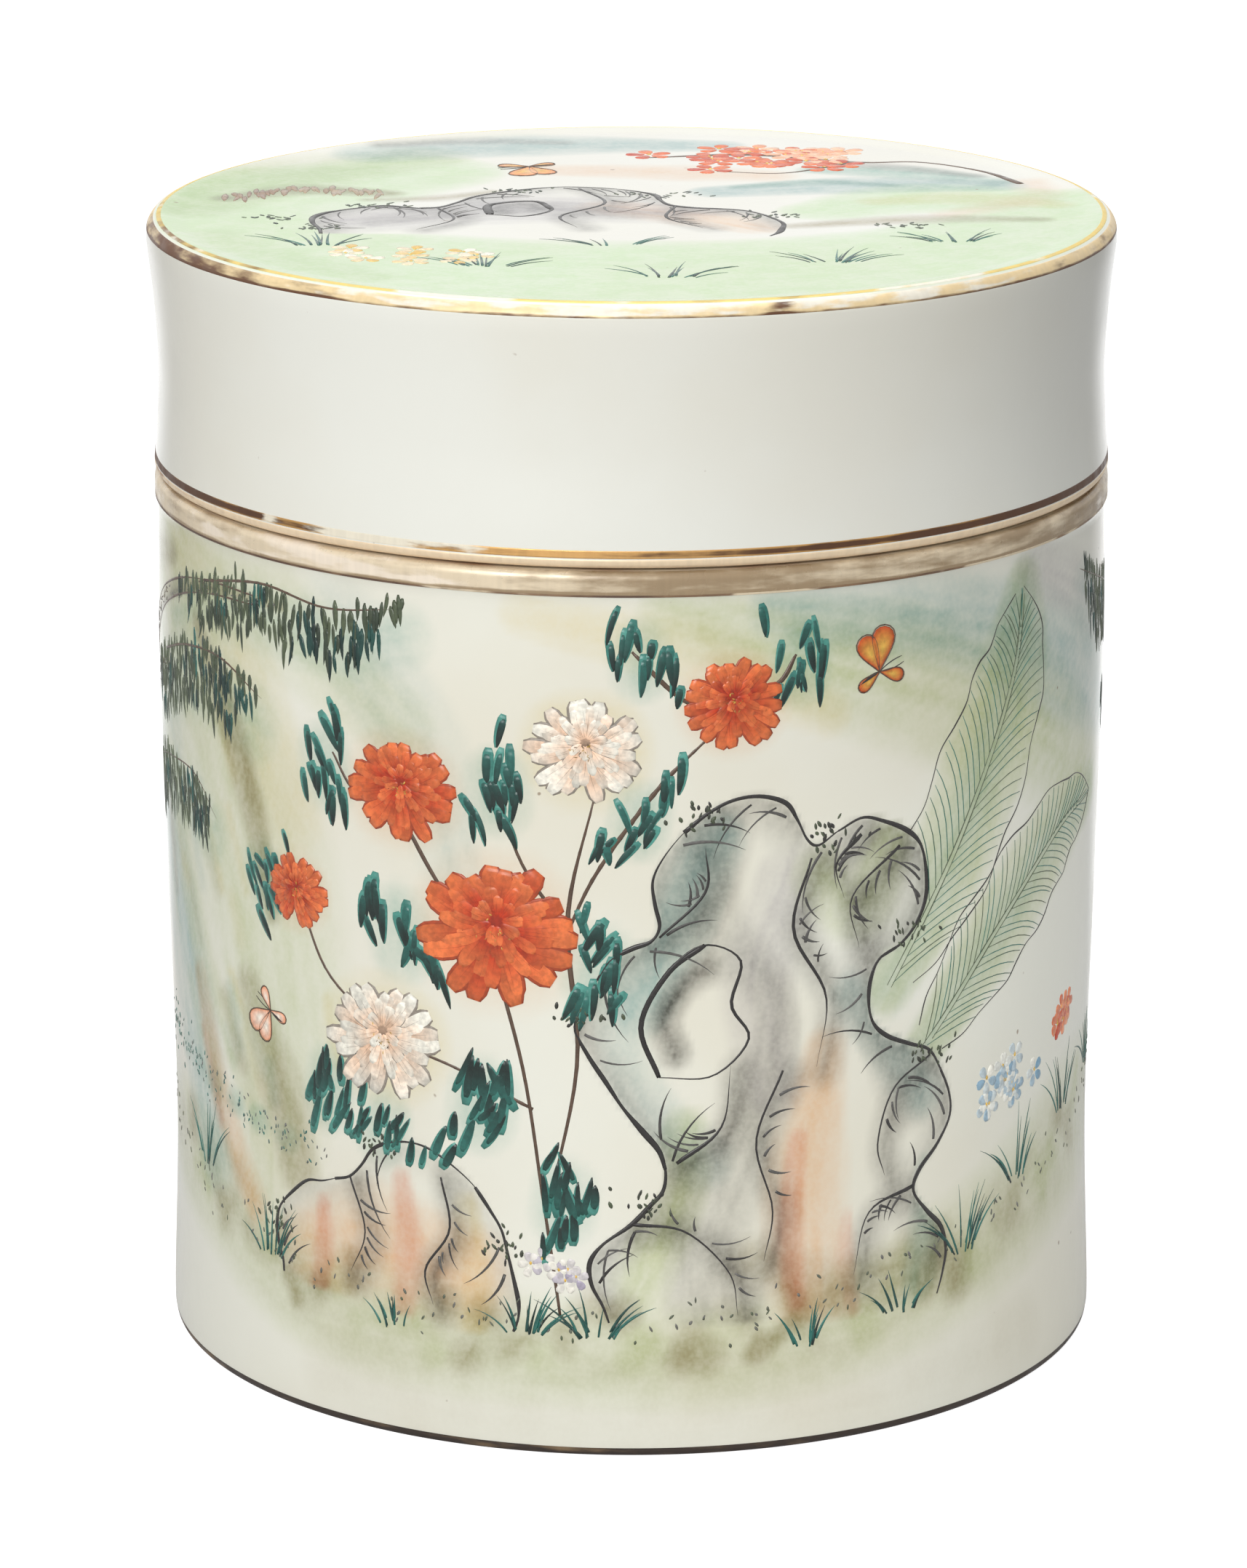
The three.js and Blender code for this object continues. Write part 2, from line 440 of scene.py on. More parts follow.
class Nodes:
    """Builds a node tree with short calls."""

    def __init__(self, tree: bpy.types.NodeTree) -> None:
        """Takes the tree that the nodes go into."""
        self.tree = tree

    def add(self, kind: str, inputs: dict | None = None, **settings: object) -> bpy.types.Node:
        """Adds a node.

        Args:
            kind: its type, without the first words that all share.
            inputs: values or other nodes' outputs for its inputs, by name or number.
            settings: its own properties.

        Returns:
            The node.
        """
        node = self.tree.nodes.new("ShaderNode" + kind)
        for key, value in settings.items():
            setattr(node, key, value)
        for key, value in (inputs or {}).items():
            self.join(value, node.inputs[key])
        return node

    def join(self, value: object, socket: Socket) -> None:
        """Links an output to a socket, or sets the socket to a plain value.

        Args:
            value, socket: the output or the value, and the socket.
        """
        if isinstance(value, Socket):
            self.tree.links.new(value, socket)
        else:
            socket.default_value = value

    def math(self, operation: str, *values: object) -> Socket:
        """Adds one sum, product or other operation and returns its result."""
        return self.add("Math", dict(enumerate(values)), operation=operation).outputs[0]

    def ray_level(self, base: float, mirrored: object, shown: float) -> Socket:
        """Gives the greatest of the levels that apply to a ray.

        Args:
            base: the level that lights things.
            mirrored: the level in reflections, a value or an output.
            shown: the level for the camera, also through clear things.

        Returns:
            The level.
        """
        rays, level = self.add("LightPath").outputs, base
        amounts = {"Is Glossy Ray": mirrored, "Is Camera Ray": shown, "Is Transmission Ray": shown}
        for name, amount in amounts.items():
            level = self.math("MAXIMUM", self.math("MULTIPLY", rays[name], amount), level)
        return level


class Coat(Nodes):
    """The node tree of one material, with a Principled shader wired to its output."""

    def __init__(self, name: str) -> None:
        """Makes the material."""
        self.material = bpy.data.materials.new(name)
        self.material.use_nodes = True
        super().__init__(self.material.node_tree)
        self.shader = self.tree.nodes["Principled BSDF"]
        self.objects = self.add("TexCoord").outputs["Object"]

    def stored(self, name: str, output: str = "Fac") -> Socket:
        """Reads an attribute of the piece's points."""
        return self.add("Attribute", attribute_name=name).outputs[output]

    def noise(self, scale: float, detail: float, stretch: Trio = (1, 1, 1)) -> Socket:
        """Adds soft noise on the piece's own coordinates, with values from 0 to 1."""
        placed = self.add("Mapping", {"Vector": self.objects, "Scale": stretch}).outputs[0]
        return self.add("TexNoise", {"Vector": placed, "Scale": scale, "Detail": detail}).outputs["Fac"]

    def ramp(self, value: object, span: Place, levels: Place = (0.0, 1.0)) -> Socket:
        """Maps a span of values smoothly to two levels, and holds them outside it."""
        ends = {"From Min": span[0], "From Max": span[1], "To Min": levels[0], "To Max": levels[1]}
        return self.add("MapRange", {"Value": value} | ends, interpolation_type="SMOOTHSTEP").outputs[0]

    def pattern(self, pattern: Pattern) -> Socket:
        """Adds a pattern and returns its level."""
        noise = self.noise(pattern.scale, pattern.detail, pattern.stretch)
        return self.ramp(noise, pattern.span, pattern.levels)

    def mix(self, factor: object, first: object, second: object, blend: str = "MIX") -> Socket:
        """Mixes two colours.

        Args:
            factor: how much of the second shows.
            first, second: outputs or linear colours.
            blend: how the second is laid on.

        Returns:
            The mixed colour.
        """
        node = self.add("Mix", {"Factor": factor}, data_type="RGBA", blend_type=blend)
        sockets = [socket for socket in node.inputs if socket.type == "RGBA"]
        for socket, colour in zip(sockets, (first, second), strict=True):
            self.join(colour if isinstance(colour, Socket) else (*colour, 1.0), socket)
        return next(socket for socket in node.outputs if socket.type == "RGBA")

    def shaded(self, colour: object, level: Socket) -> Socket:
        """Makes a colour brighter or darker by a level."""
        grey = self.add("CombineColor", dict.fromkeys(range(3), level)).outputs[0]
        return self.mix(1.0, colour, grey, "MULTIPLY")

    def relief(self, reliefs: tuple[Relief, ...]) -> Socket:
        """Lays reliefs one over another.

        Args:
            reliefs: the reliefs.

        Returns:
            The normal.
        """
        inputs = {}
        for one in reliefs:
            height = self.noise(one.scale, one.detail, one.stretch)
            inputs |= {"Height": height, "Distance": one.height, "Strength": one.strength}
            inputs["Normal"] = self.add("Bump", inputs).outputs["Normal"]
        return inputs["Normal"]

    def dress(self, inputs: dict) -> Material:
        """Fills the shader's inputs.

        Args:
            inputs: values or outputs, by the inputs' names.

        Returns:
            The material.
        """
        for key, value in inputs.items():
            self.join(value, self.shader.inputs[key])
        return self.material


@dataclass(frozen=True)
class GlazeFinish:
    """Old porcelain glaze: a faintly green grey-white, glossy, slightly uneven, with a few iron specks.

    The painting's washes lie on it. Where the piece is bare of glaze, the fired clay shows. The reliefs are
    a gentle ripple, the rings of the turning and a fine pitting.
    """

    name: str
    white: Rgb
    cloud: Rgb
    speck: Rgb = linear(126, 96, 66)
    clay: Rgb = linear(220, 206, 182)
    clay_burnt: Rgb = linear(196, 162, 126)
    clay_roughness: float = 0.6
    clay_edge: Place = (0.4, 0.6)
    torn: Pattern = Pattern(300.0, 4.0, levels=(0.84, 1.12), stretch=(1, 1, 0.6))
    fine: Pattern = Pattern(1700.0, levels=(0.9, 1.08))
    clouds: Pattern = Pattern(26.0, 3.0, (0.38, 0.68))
    specks: Pattern = Pattern(560.0, 1.0, (0.81, 0.85), (0.0, 0.7))
    burns: Pattern = Pattern(110.0, 4.0, (0.4, 0.76))
    gloss: Pattern = Pattern(140.0, 3.0, levels=(0.10, 0.19))
    reliefs: tuple[Relief, ...] = (
        Relief(60.0, 1.0, 0.0006, 0.12),
        Relief(150.0, 1.0, 0.0002, 0.15, (0.12, 0.12, 1.0)),
        Relief(900.0, 1.0, 0.00005, 0.15),
    )

    def washed(self, coat: Coat, ground: Socket) -> Socket:
        """Lays every wash on the ground: its stored strength, torn at the edges and streaked.

        Args:
            coat: the material's nodes.
            ground: the glaze's colour.

        Returns:
            The washed colour.
        """
        patchy = coat.math("MULTIPLY", coat.pattern(self.torn), coat.pattern(self.fine))
        for pigment in Hue:
            amount = coat.math("MULTIPLY", coat.stored(pigment.attribute()), patchy)
            ground = coat.mix(amount, ground, coat.mix(1.0, ground, pigment.value, "MULTIPLY"))
        return ground

    def material(self) -> Material:
        """Builds the glaze from blotchy white, the washes, specks, the reliefs and bare clay.

        Returns:
            The material.
        """
        coat = Coat(self.name)
        white = coat.mix(coat.pattern(self.clouds), self.white, self.cloud)
        specked = coat.mix(coat.pattern(self.specks), self.washed(coat, white), self.speck)
        bare = coat.ramp(coat.stored("bare"), self.clay_edge)
        clay = coat.mix(coat.pattern(self.burns), self.clay, self.clay_burnt)
        rough = coat.math("MULTIPLY", bare, self.clay_roughness)
        return coat.dress({
            "Base Color": coat.mix(bare, specked, clay),
            "Roughness": coat.math("ADD", coat.pattern(self.gloss), rough),
            "Normal": coat.relief(self.reliefs),
        })


@dataclass(frozen=True)
class EnamelFinish:
    """Enamel or ink laid on the glaze: its colour comes with the strokes, with a little uneven shine."""

    name: str
    pooling: Pattern = Pattern(1600.0, levels=(0.82, 1.14))
    gloss: Pattern = Pattern(500.0, levels=(0.22, 0.42))
    reliefs: tuple[Relief, ...] = (Relief(1500.0, 2.0, 0.00003, 0.3),)

    def material(self) -> Material:
        """Builds the enamel from the strokes' own colours and a fine pooling of the paint."""
        coat = Coat(self.name)
        return coat.dress({
            "Base Color": coat.shaded(coat.stored("tint", "Color"), coat.pattern(self.pooling)),
            "Roughness": coat.pattern(self.gloss),
            "Normal": coat.relief(self.reliefs),
        })


@dataclass(frozen=True)
class GiltFinish:
    """A brushed line of gilding that is worn through to brown and to bare glaze in places.

    The piece stores how much is worn away and how brown it is. Noise drawn out round the jar breaks up both.
    On the lid's lip and rim line, the browns set by the angle round the jar are partly painted shade and
    highlight.
    """

    name: str
    gold: Rgb
    brown: Rgb
    bare: Rgb
    metal: float = 0.7
    scale: float = 150.0
    ribs: float = 0.04
    roughness: Place = (0.32, 0.55)
    drawn_out: Trio = (1, 1, 5)
    gone_span: Place = (0.93, 1.09)
    thin_span: Place = (0.85, 1.25)
    dull: float = 0.8
    reliefs: tuple[Relief, ...] = (Relief(1300.0, 2.0, 0.00003, 0.3),)

    def material(self) -> Material:
        """Builds the gilding: gold where it lasts, brown where it is thin, glaze where it is gone.

        Returns:
            The material.
        """
        coat = Coat(self.name)
        wear = coat.math("ADD", coat.noise(self.scale, 5.0, self.drawn_out), coat.stored("worn"))
        dark = coat.math("ADD", coat.noise(self.scale * 1.3, 4.0, self.drawn_out), coat.stored("brown"))
        gone, thin = coat.ramp(wear, self.gone_span), coat.ramp(dark, self.thin_span)
        coloured = coat.mix(gone, coat.mix(thin, self.gold, self.brown), self.bare)
        ribs = Pattern(1500.0, levels=(1 - self.ribs, 1 + self.ribs), stretch=(1, 1, 0.1))
        lost = coat.math("MAXIMUM", gone, coat.math("MULTIPLY", thin, self.dull))
        return coat.dress({
            "Base Color": coat.shaded(coloured, coat.pattern(ribs)),
            "Metallic": coat.math("MULTIPLY", coat.math("SUBTRACT", 1.0, lost), self.metal),
            "Roughness": coat.pattern(Pattern(400.0, 3.0, levels=self.roughness)),
            "Normal": coat.relief(self.reliefs),
        })


@dataclass(frozen=True)
class Wash:
    """One pass of thin colour along a line: soft at its edges and streaked by the brush's hairs.

    The half widths are given at each point of the line. A high edge power gives a crisp edge, and the pass
    may be kept inside an outline. The hair is the width and the length of one streak.
    """

    pigment: Hue
    line: Array
    widths: Array
    strength: float
    edge: float
    streak: float
    seed: int
    within: Array | None = None
    hair: Place = (0.9, 9.0)

    def left_at(self, places: Array) -> Array:
        """Gives what the pass leaves: strength (1 - d^edge) (1 - streak g).

        Here d is the distance from the line in half widths, and g is noise drawn out along the line.

        Args:
            places: the places, one to a row.

        Returns:
            The strength at each place, from 0 to 1.
        """
        left, reach = np.zeros(len(places)), self.widths.max()
        near = np.all((places > self.line.min(0) - reach) & (places < self.line.max(0) + reach), axis=1)
        start, run = self.line[:-1], np.diff(self.line, axis=0)
        length = np.maximum(np.linalg.norm(run, axis=1), TINY)
        offset = places[near][:, None] - start
        share = np.clip((offset * run).sum(-1) / length**2, 0, 1)
        away = np.linalg.norm(offset - share[..., None] * run, axis=-1)
        away /= self.widths[:-1] + np.diff(self.widths) * share
        row, best = np.arange(len(away)), away.argmin(axis=1)
        side = (run[best, 0] * offset[row, best, 1] - run[best, 1] * offset[row, best, 0]) / length[best]
        ahead = (np.cumsum(length) - length)[best] + share[row, best] * length[best]
        streaks = self.streak * grain(side / self.hair[0], ahead / self.hair[1], self.seed)
        left[near] = np.clip(1 - away[row, best] ** self.edge, 0, 1) * (1 - streaks) * self.strength
        return left


@dataclass(frozen=True)
class Reserve:
    """A shape wiped clean of the washes under it, all but a share of them."""

    within: Array
    kept: float = 0.12


@dataclass
class Washes:
    """All the thin colour on one surface, in the order in which it is laid.

    On a surface that closes on itself, a wash may run past the far side and goes on there, a turn away.
    """

    laid: list[Wash | Reserve] = field(default_factory=list)
    turns: tuple[float, ...] = (0.0,)
    shortest: float = 0.01
    dab_streak: float = 0.45

    def dab(
        self, pigment: Hue, place: Place, size: Place, strength: float,
        turn: float = 0.0, edge: float = 2.0,
    ) -> None:
        """Lays a short fat pass.

        Args:
            pigment, strength: the colour, and how strong it is at the centre, from 0 to 1.
            place, size: its centre, and its half length and half width.
            turn: how far its length is turned from the first axis, in degrees.
            edge: how crisp its edge is.
        """
        half = headed(turn) * max(size[0] - size[1], self.shortest)
        ends = np.array([place, place]) + np.outer([-1, 1], half)
        wide = np.full(2, size[1])
        self.laid.append(Wash(pigment, ends, wide, strength, edge, self.dab_streak, len(self.laid)))

    def sweep(
        self, pigment: Hue, places: Places, widths: Values | list[float], strength: float,
        edge: float = 2.0, streak: float = 0.5, within: Array | None = None,
    ) -> None:
        """Lays a broad curved pass.

        Args:
            pigment, strength: the colour, and how strong it is in the middle, from 0 to 1.
            places, widths: the places that its middle runs through, and its half width there.
            edge, streak: how crisp its edge is, and how much the brush's hairs show.
            within: an outline that it stays inside, if any.
        """
        line = curve_through(places, 5 * len(places))
        wide = evened(np.broadcast_to(widths, len(places)), len(line))
        self.laid.append(Wash(pigment, line, wide, strength, edge, streak, len(self.laid), within))

    def store(self, piece: Piece, across: Array, up: Array, painted: Array) -> None:
        """Stores every pigment's strength: 1 less the product of what each pass lets through.

        Args:
            piece: the piece that takes the washes.
            across, up: each point's place on the painted surface.
            painted: which points belong to that surface.
        """
        places = np.stack([across[painted], up[painted]], axis=-1)
        outlines = {id(step.within): step.within for step in self.laid if step.within is not None}
        shares = {key: covered(places, outline) for key, outline in outlines.items()}
        for pigment in Hue:
            clear = np.ones(len(places))
            for step in self.laid:
                if isinstance(step, Reserve):
                    clear += shares[id(step.within)] * (1 - step.kept) * (1 - clear)
                elif step.pigment is pigment:
                    left = sum(step.left_at(places + np.array([turn, 0.0])) for turn in self.turns)
                    clear *= 1 - np.minimum(left, 1) * shares.get(id(step.within), 1.0)
            values = np.zeros(len(across))
            values[painted] = 1 - clear
            store_values(piece, pigment.attribute(), values)


@dataclass(frozen=True)
class Swells:
    """A value round the jar: a base, and bells of (degrees from the front, half width in degrees, amount)."""

    base: float = 0.3
    bells: tuple[Trio, ...] = ()

    def at(self, angles: Array) -> Array:
        """Gives the base plus each bell's amount times exp(-(distance / half width)^2).

        Args:
            angles: where to read it, in radians.

        Returns:
            The value at each angle.
        """
        total = np.full(len(angles), self.base)
        for centre, half, amount in self.bells:
            away = (np.degrees(angles) - centre + 180) % 360 - 180
            total += amount * np.exp(-((away / half) ** 2))
        return total


@dataclass
class GiltLine:
    """A brushed line round a turned form: a closed skin that follows its profile a hair proud of it.

    It lies between two lengths along the outline. A rim makes it browner along its lower edge, over a share
    of its width, and a halo leaves its two edges golden.
    """

    name: str
    body: Body
    finish: GiltFinish
    outline: Array
    low: float
    high: float
    worn: Swells = Swells()
    brown: Swells = Swells()
    rim: float = 0.0
    rim_share: float = 0.3
    rim_solid: float = 0.4
    rim_lasting: float = 0.6
    halo: float = 0.0
    halo_span: Place = (0.1, 0.34)
    proud: float = 0.03
    buried: float = 0.06
    columns: int = 512
    rows: int = 12

    def build(self) -> None:
        """Builds the line: the profile between its two lengths, pushed out and closed underneath."""
        lengths = np.concatenate([[0], np.cumsum(np.hypot(*np.diff(self.outline, axis=0).T))])
        at = np.linspace(self.low, self.high, self.rows)
        line = np.stack([np.interp(at, lengths, self.outline[:, k]) for k in (0, 1)], axis=-1)
        out = -left_of(directions(line))
        lift = np.where((at == at[0]) | (at == at[-1]), -self.buried / 2, self.proud)[:, None]
        section = np.vstack([line + out * lift, (line - out * self.buried)[::-1]])
        angles = np.arange(self.columns) / self.columns * FULL_TURN
        index = np.arange(len(section) * self.columns).reshape(len(section), self.columns)
        faces = tube_quads(np.vstack([index, index[:1]])).reshape(-1, 4).tolist()
        points = ring_points(section, angles).reshape(-1, 3)
        piece = put_in_scene(self.name, points, faces, self.finish.material())
        share = np.linspace(0, 1, self.rows)
        low = self.rim * (1 - smooth_step(share, self.rim_solid * self.rim_share, self.rim_share))
        both = self.halo * (1 - smooth_step(np.minimum(share, 1 - share), *self.halo_span))
        low, both = (np.concatenate([rows, rows[::-1]])[:, None] for rows in (low, both))
        store_values(piece, "worn", self.worn.at(angles) - self.rim_lasting * low)
        store_values(piece, "brown", self.brown.at(angles) + low - both)
        hand_over(piece, self.body)


@dataclass
class JarForm:
    """The jar: foot ring, recessed base, wall with its shoulder band, collar and hollow.

    The arris is the small bevel at the band's foot: how far in and down it starts, and how far up it ends.
    The crowding draws the mesh's columns together at the painted front.
    """

    shoulder: float = 100.8
    foot: float = 53.6
    foot_swell: float = 53.7
    swell_rise: float = 3.0
    waist: float = 53.1
    waist_height: float = 25.0
    chest: float = 54.15
    chest_height: float = 80.0
    middle_drop: float = 2.0
    under_band: float = 53.95
    band: float = 54.3
    band_height: float = 2.8
    band_step: float = 0.7
    arris: Trio = (0.12, 0.1, 0.15)
    thickness: float = 4.6
    low_extra: float = 0.6
    neck: float = 9.0
    floor: float = 8.6
    floor_corner: float = 7.0
    ring_inner: float = 48.2
    recess: float = 3.4
    recess_corner: float = 1.6
    bevel: float = 0.7
    crown: float = 0.6
    collar_top: float = 110.0
    collar_outer: float = 49.4
    collar_inner: float = 45.6
    root: float = 0.8
    lip: float = 0.9
    wall_margin: float = 0.1
    bare_seat: float = 0.245
    bare_ledge: Place = (0.3, 0.2)
    wall_steps: int = 140
    columns: int = 470
    crowding: float = 0.35

    def band_bottom(self) -> float:
        """Returns the height of the shoulder band's lower edge."""
        return self.shoulder - self.band_height

    def wall(self, profile: Profile) -> Profile:
        """Adds the smooth outer wall from the foot to just under the shoulder band.

        Args:
            profile: a profile that ends at the foot.

        Returns:
            The same profile.
        """
        mean = (self.waist + self.chest) / 2
        halfway = (self.waist_height + self.chest_height) / 2
        places = [
            (self.foot_swell, self.bevel + self.swell_rise),
            (self.waist, self.waist_height),
            (mean, halfway - self.middle_drop),
            (self.chest, self.chest_height),
            (self.under_band, self.band_bottom() - self.band_step),
        ]
        return profile.wall(places, self.wall_steps)

    def canvas(self) -> "WallCanvas":
        """Returns the outer wall as a surface to paint on."""
        return WallCanvas(self.wall(Profile(self.foot, self.bevel)).array(), self.chest)

    def profile(self) -> Array:
        """Draws the whole closed half profile.

        Returns:
            Its (radius, height) rows.
        """
        inner, outer = self.under_band - self.thickness, self.collar_outer
        low, bottom, top = inner - self.low_extra, self.band_bottom(), self.collar_top
        arris_in, arris_down, arris_up = self.arris
        drawn = Profile(0, self.recess + self.crown)
        drawn.line(self.ring_inner - self.recess_corner, self.recess, 3)
        drawn.corner((self.ring_inner, self.recess), (self.ring_inner, self.recess - self.recess_corner))
        drawn.line(self.ring_inner, self.bevel).line(self.ring_inner + self.bevel, 0)
        drawn.line(self.foot - self.bevel, 0, 2)
        drawn.corner((self.foot, 0), (self.foot, self.bevel), 3)
        self.wall(drawn)
        drawn.line(self.band - arris_in, bottom - arris_down).line(self.band, bottom + arris_up)
        drawn.line(self.band, self.shoulder - self.lip, 2)
        drawn.corner((self.band, self.shoulder), (self.band - self.lip, self.shoulder))
        drawn.line(outer + self.root, self.shoulder, 2)
        drawn.corner((outer, self.shoulder), (outer, self.shoulder + self.root), 4)
        drawn.line(outer, top - self.lip, 2)
        drawn.corner((outer, top), (outer - self.lip, top), 4)
        drawn.line(self.collar_inner + self.lip, top)
        drawn.corner((self.collar_inner, top), (self.collar_inner, top - self.lip), 4)
        drawn.line(self.collar_inner, bottom, 2)
        halfway, floor_edge = (bottom + self.floor) / 2, self.floor + self.floor_corner
        drawn.wall([(inner, bottom - self.neck), (inner, halfway), (low, floor_edge)], 10)
        drawn.corner((low, self.floor), (low - self.floor_corner, self.floor), 6)
        drawn.line(0, self.floor + self.crown, 3)
        return drawn.array()

    def build(self, finish: GlazeFinish, washes: Washes) -> None:
        """Builds the glazed jar, which stands for the frame's jar_body.

        Args:
            finish: the glaze.
            washes: the washes on the outer wall.
        """
        even = np.arange(self.columns) / self.columns * FULL_TURN
        points, faces = turned(self.profile(), even - self.crowding * np.sin(even))
        piece = put_in_scene("porcelain_jar", points, faces, finish.material())
        radius, height = np.hypot(points[:, 0], points[:, 1]), points[:, 2]
        along = np.arctan2(points[:, 0], -points[:, 1]) * self.chest
        outside = (height > self.bevel) & (height < self.band_bottom())
        washes.store(piece, along, height, outside & (radius > self.waist - self.wall_margin))
        inset, drop = self.bare_ledge
        ledge = (radius < self.band - inset) & (radius > self.collar_inner + self.lip)
        bare = (height < self.bare_seat) | (ledge & (height > self.shoulder - drop))
        store_values(piece, "bare", bare)
        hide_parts("jar_body")
        hand_over(piece, Body.JAR)

    def gilding(self) -> list[GiltLine]:
        """Lays out the shoulder band with its brown lower edge, and the brown line round the foot.

        Returns:
            The lines.
        """
        band = Profile(self.band, self.band_bottom()).line(self.band, self.shoulder - self.lip)
        band.corner((self.band, self.shoulder), (self.band - self.lip, self.shoulder), 8)
        foot = Profile(self.foot - self.bevel, 0).corner((self.foot, 0), (self.foot, self.bevel), 8)
        foot.line(self.foot + 0.01, self.bevel + 1)
        tan = GiltFinish(
            "gilt_tan", linear(228, 211, 182), linear(161, 139, 109), linear(240, 226, 206),
            metal=0.2, scale=130.0, ribs=0.03, roughness=(0.24, 0.4),
        )
        edge_brown = GiltFinish(
            "shoulder_edge_brown", linear(140, 112, 84), linear(86, 64, 50), linear(214, 198, 170), metal=0.05
        )
        foot_brown = GiltFinish(
            "foot_brown", linear(124, 102, 76), linear(50, 39, 32), linear(176, 160, 132), metal=0.05
        )
        edge_worn = ((-19, 6, 0.4), (17, 8, 0.45), (50, 12, 0.5), (76, 16, 0.3), (180, 60, 0.2))
        return [
            GiltLine(
                "gilt_shoulder", Body.JAR, tan, band.array(), 0.05, 3.3,
                worn=Swells(0.24, ((180, 60, 0.2), (-40, 26, 0.3), (88, 10, 0.3))),
                brown=Swells(0.30, ((62, 38, 0.34), (-74, 22, 0.12), (6, 18, 0.4))),
                rim=0.5, rim_share=0.16,
            ),
            GiltLine(
                "gilt_shoulder_edge", Body.JAR, edge_brown, band.array(), 0.01, 0.26,
                worn=Swells(0.22, edge_worn), brown=Swells(0.5, ((-55, 30, 0.3), (0, 6, 0.2))), proud=0.042,
            ),
            GiltLine(
                "foot_line", Body.JAR, foot_brown, foot.array(), 0.25, 1.6,
                worn=Swells(0.25), brown=Swells(0.6, ((55, 34, 0.5), (-40, 25, 0.2))),
            ),
        ]


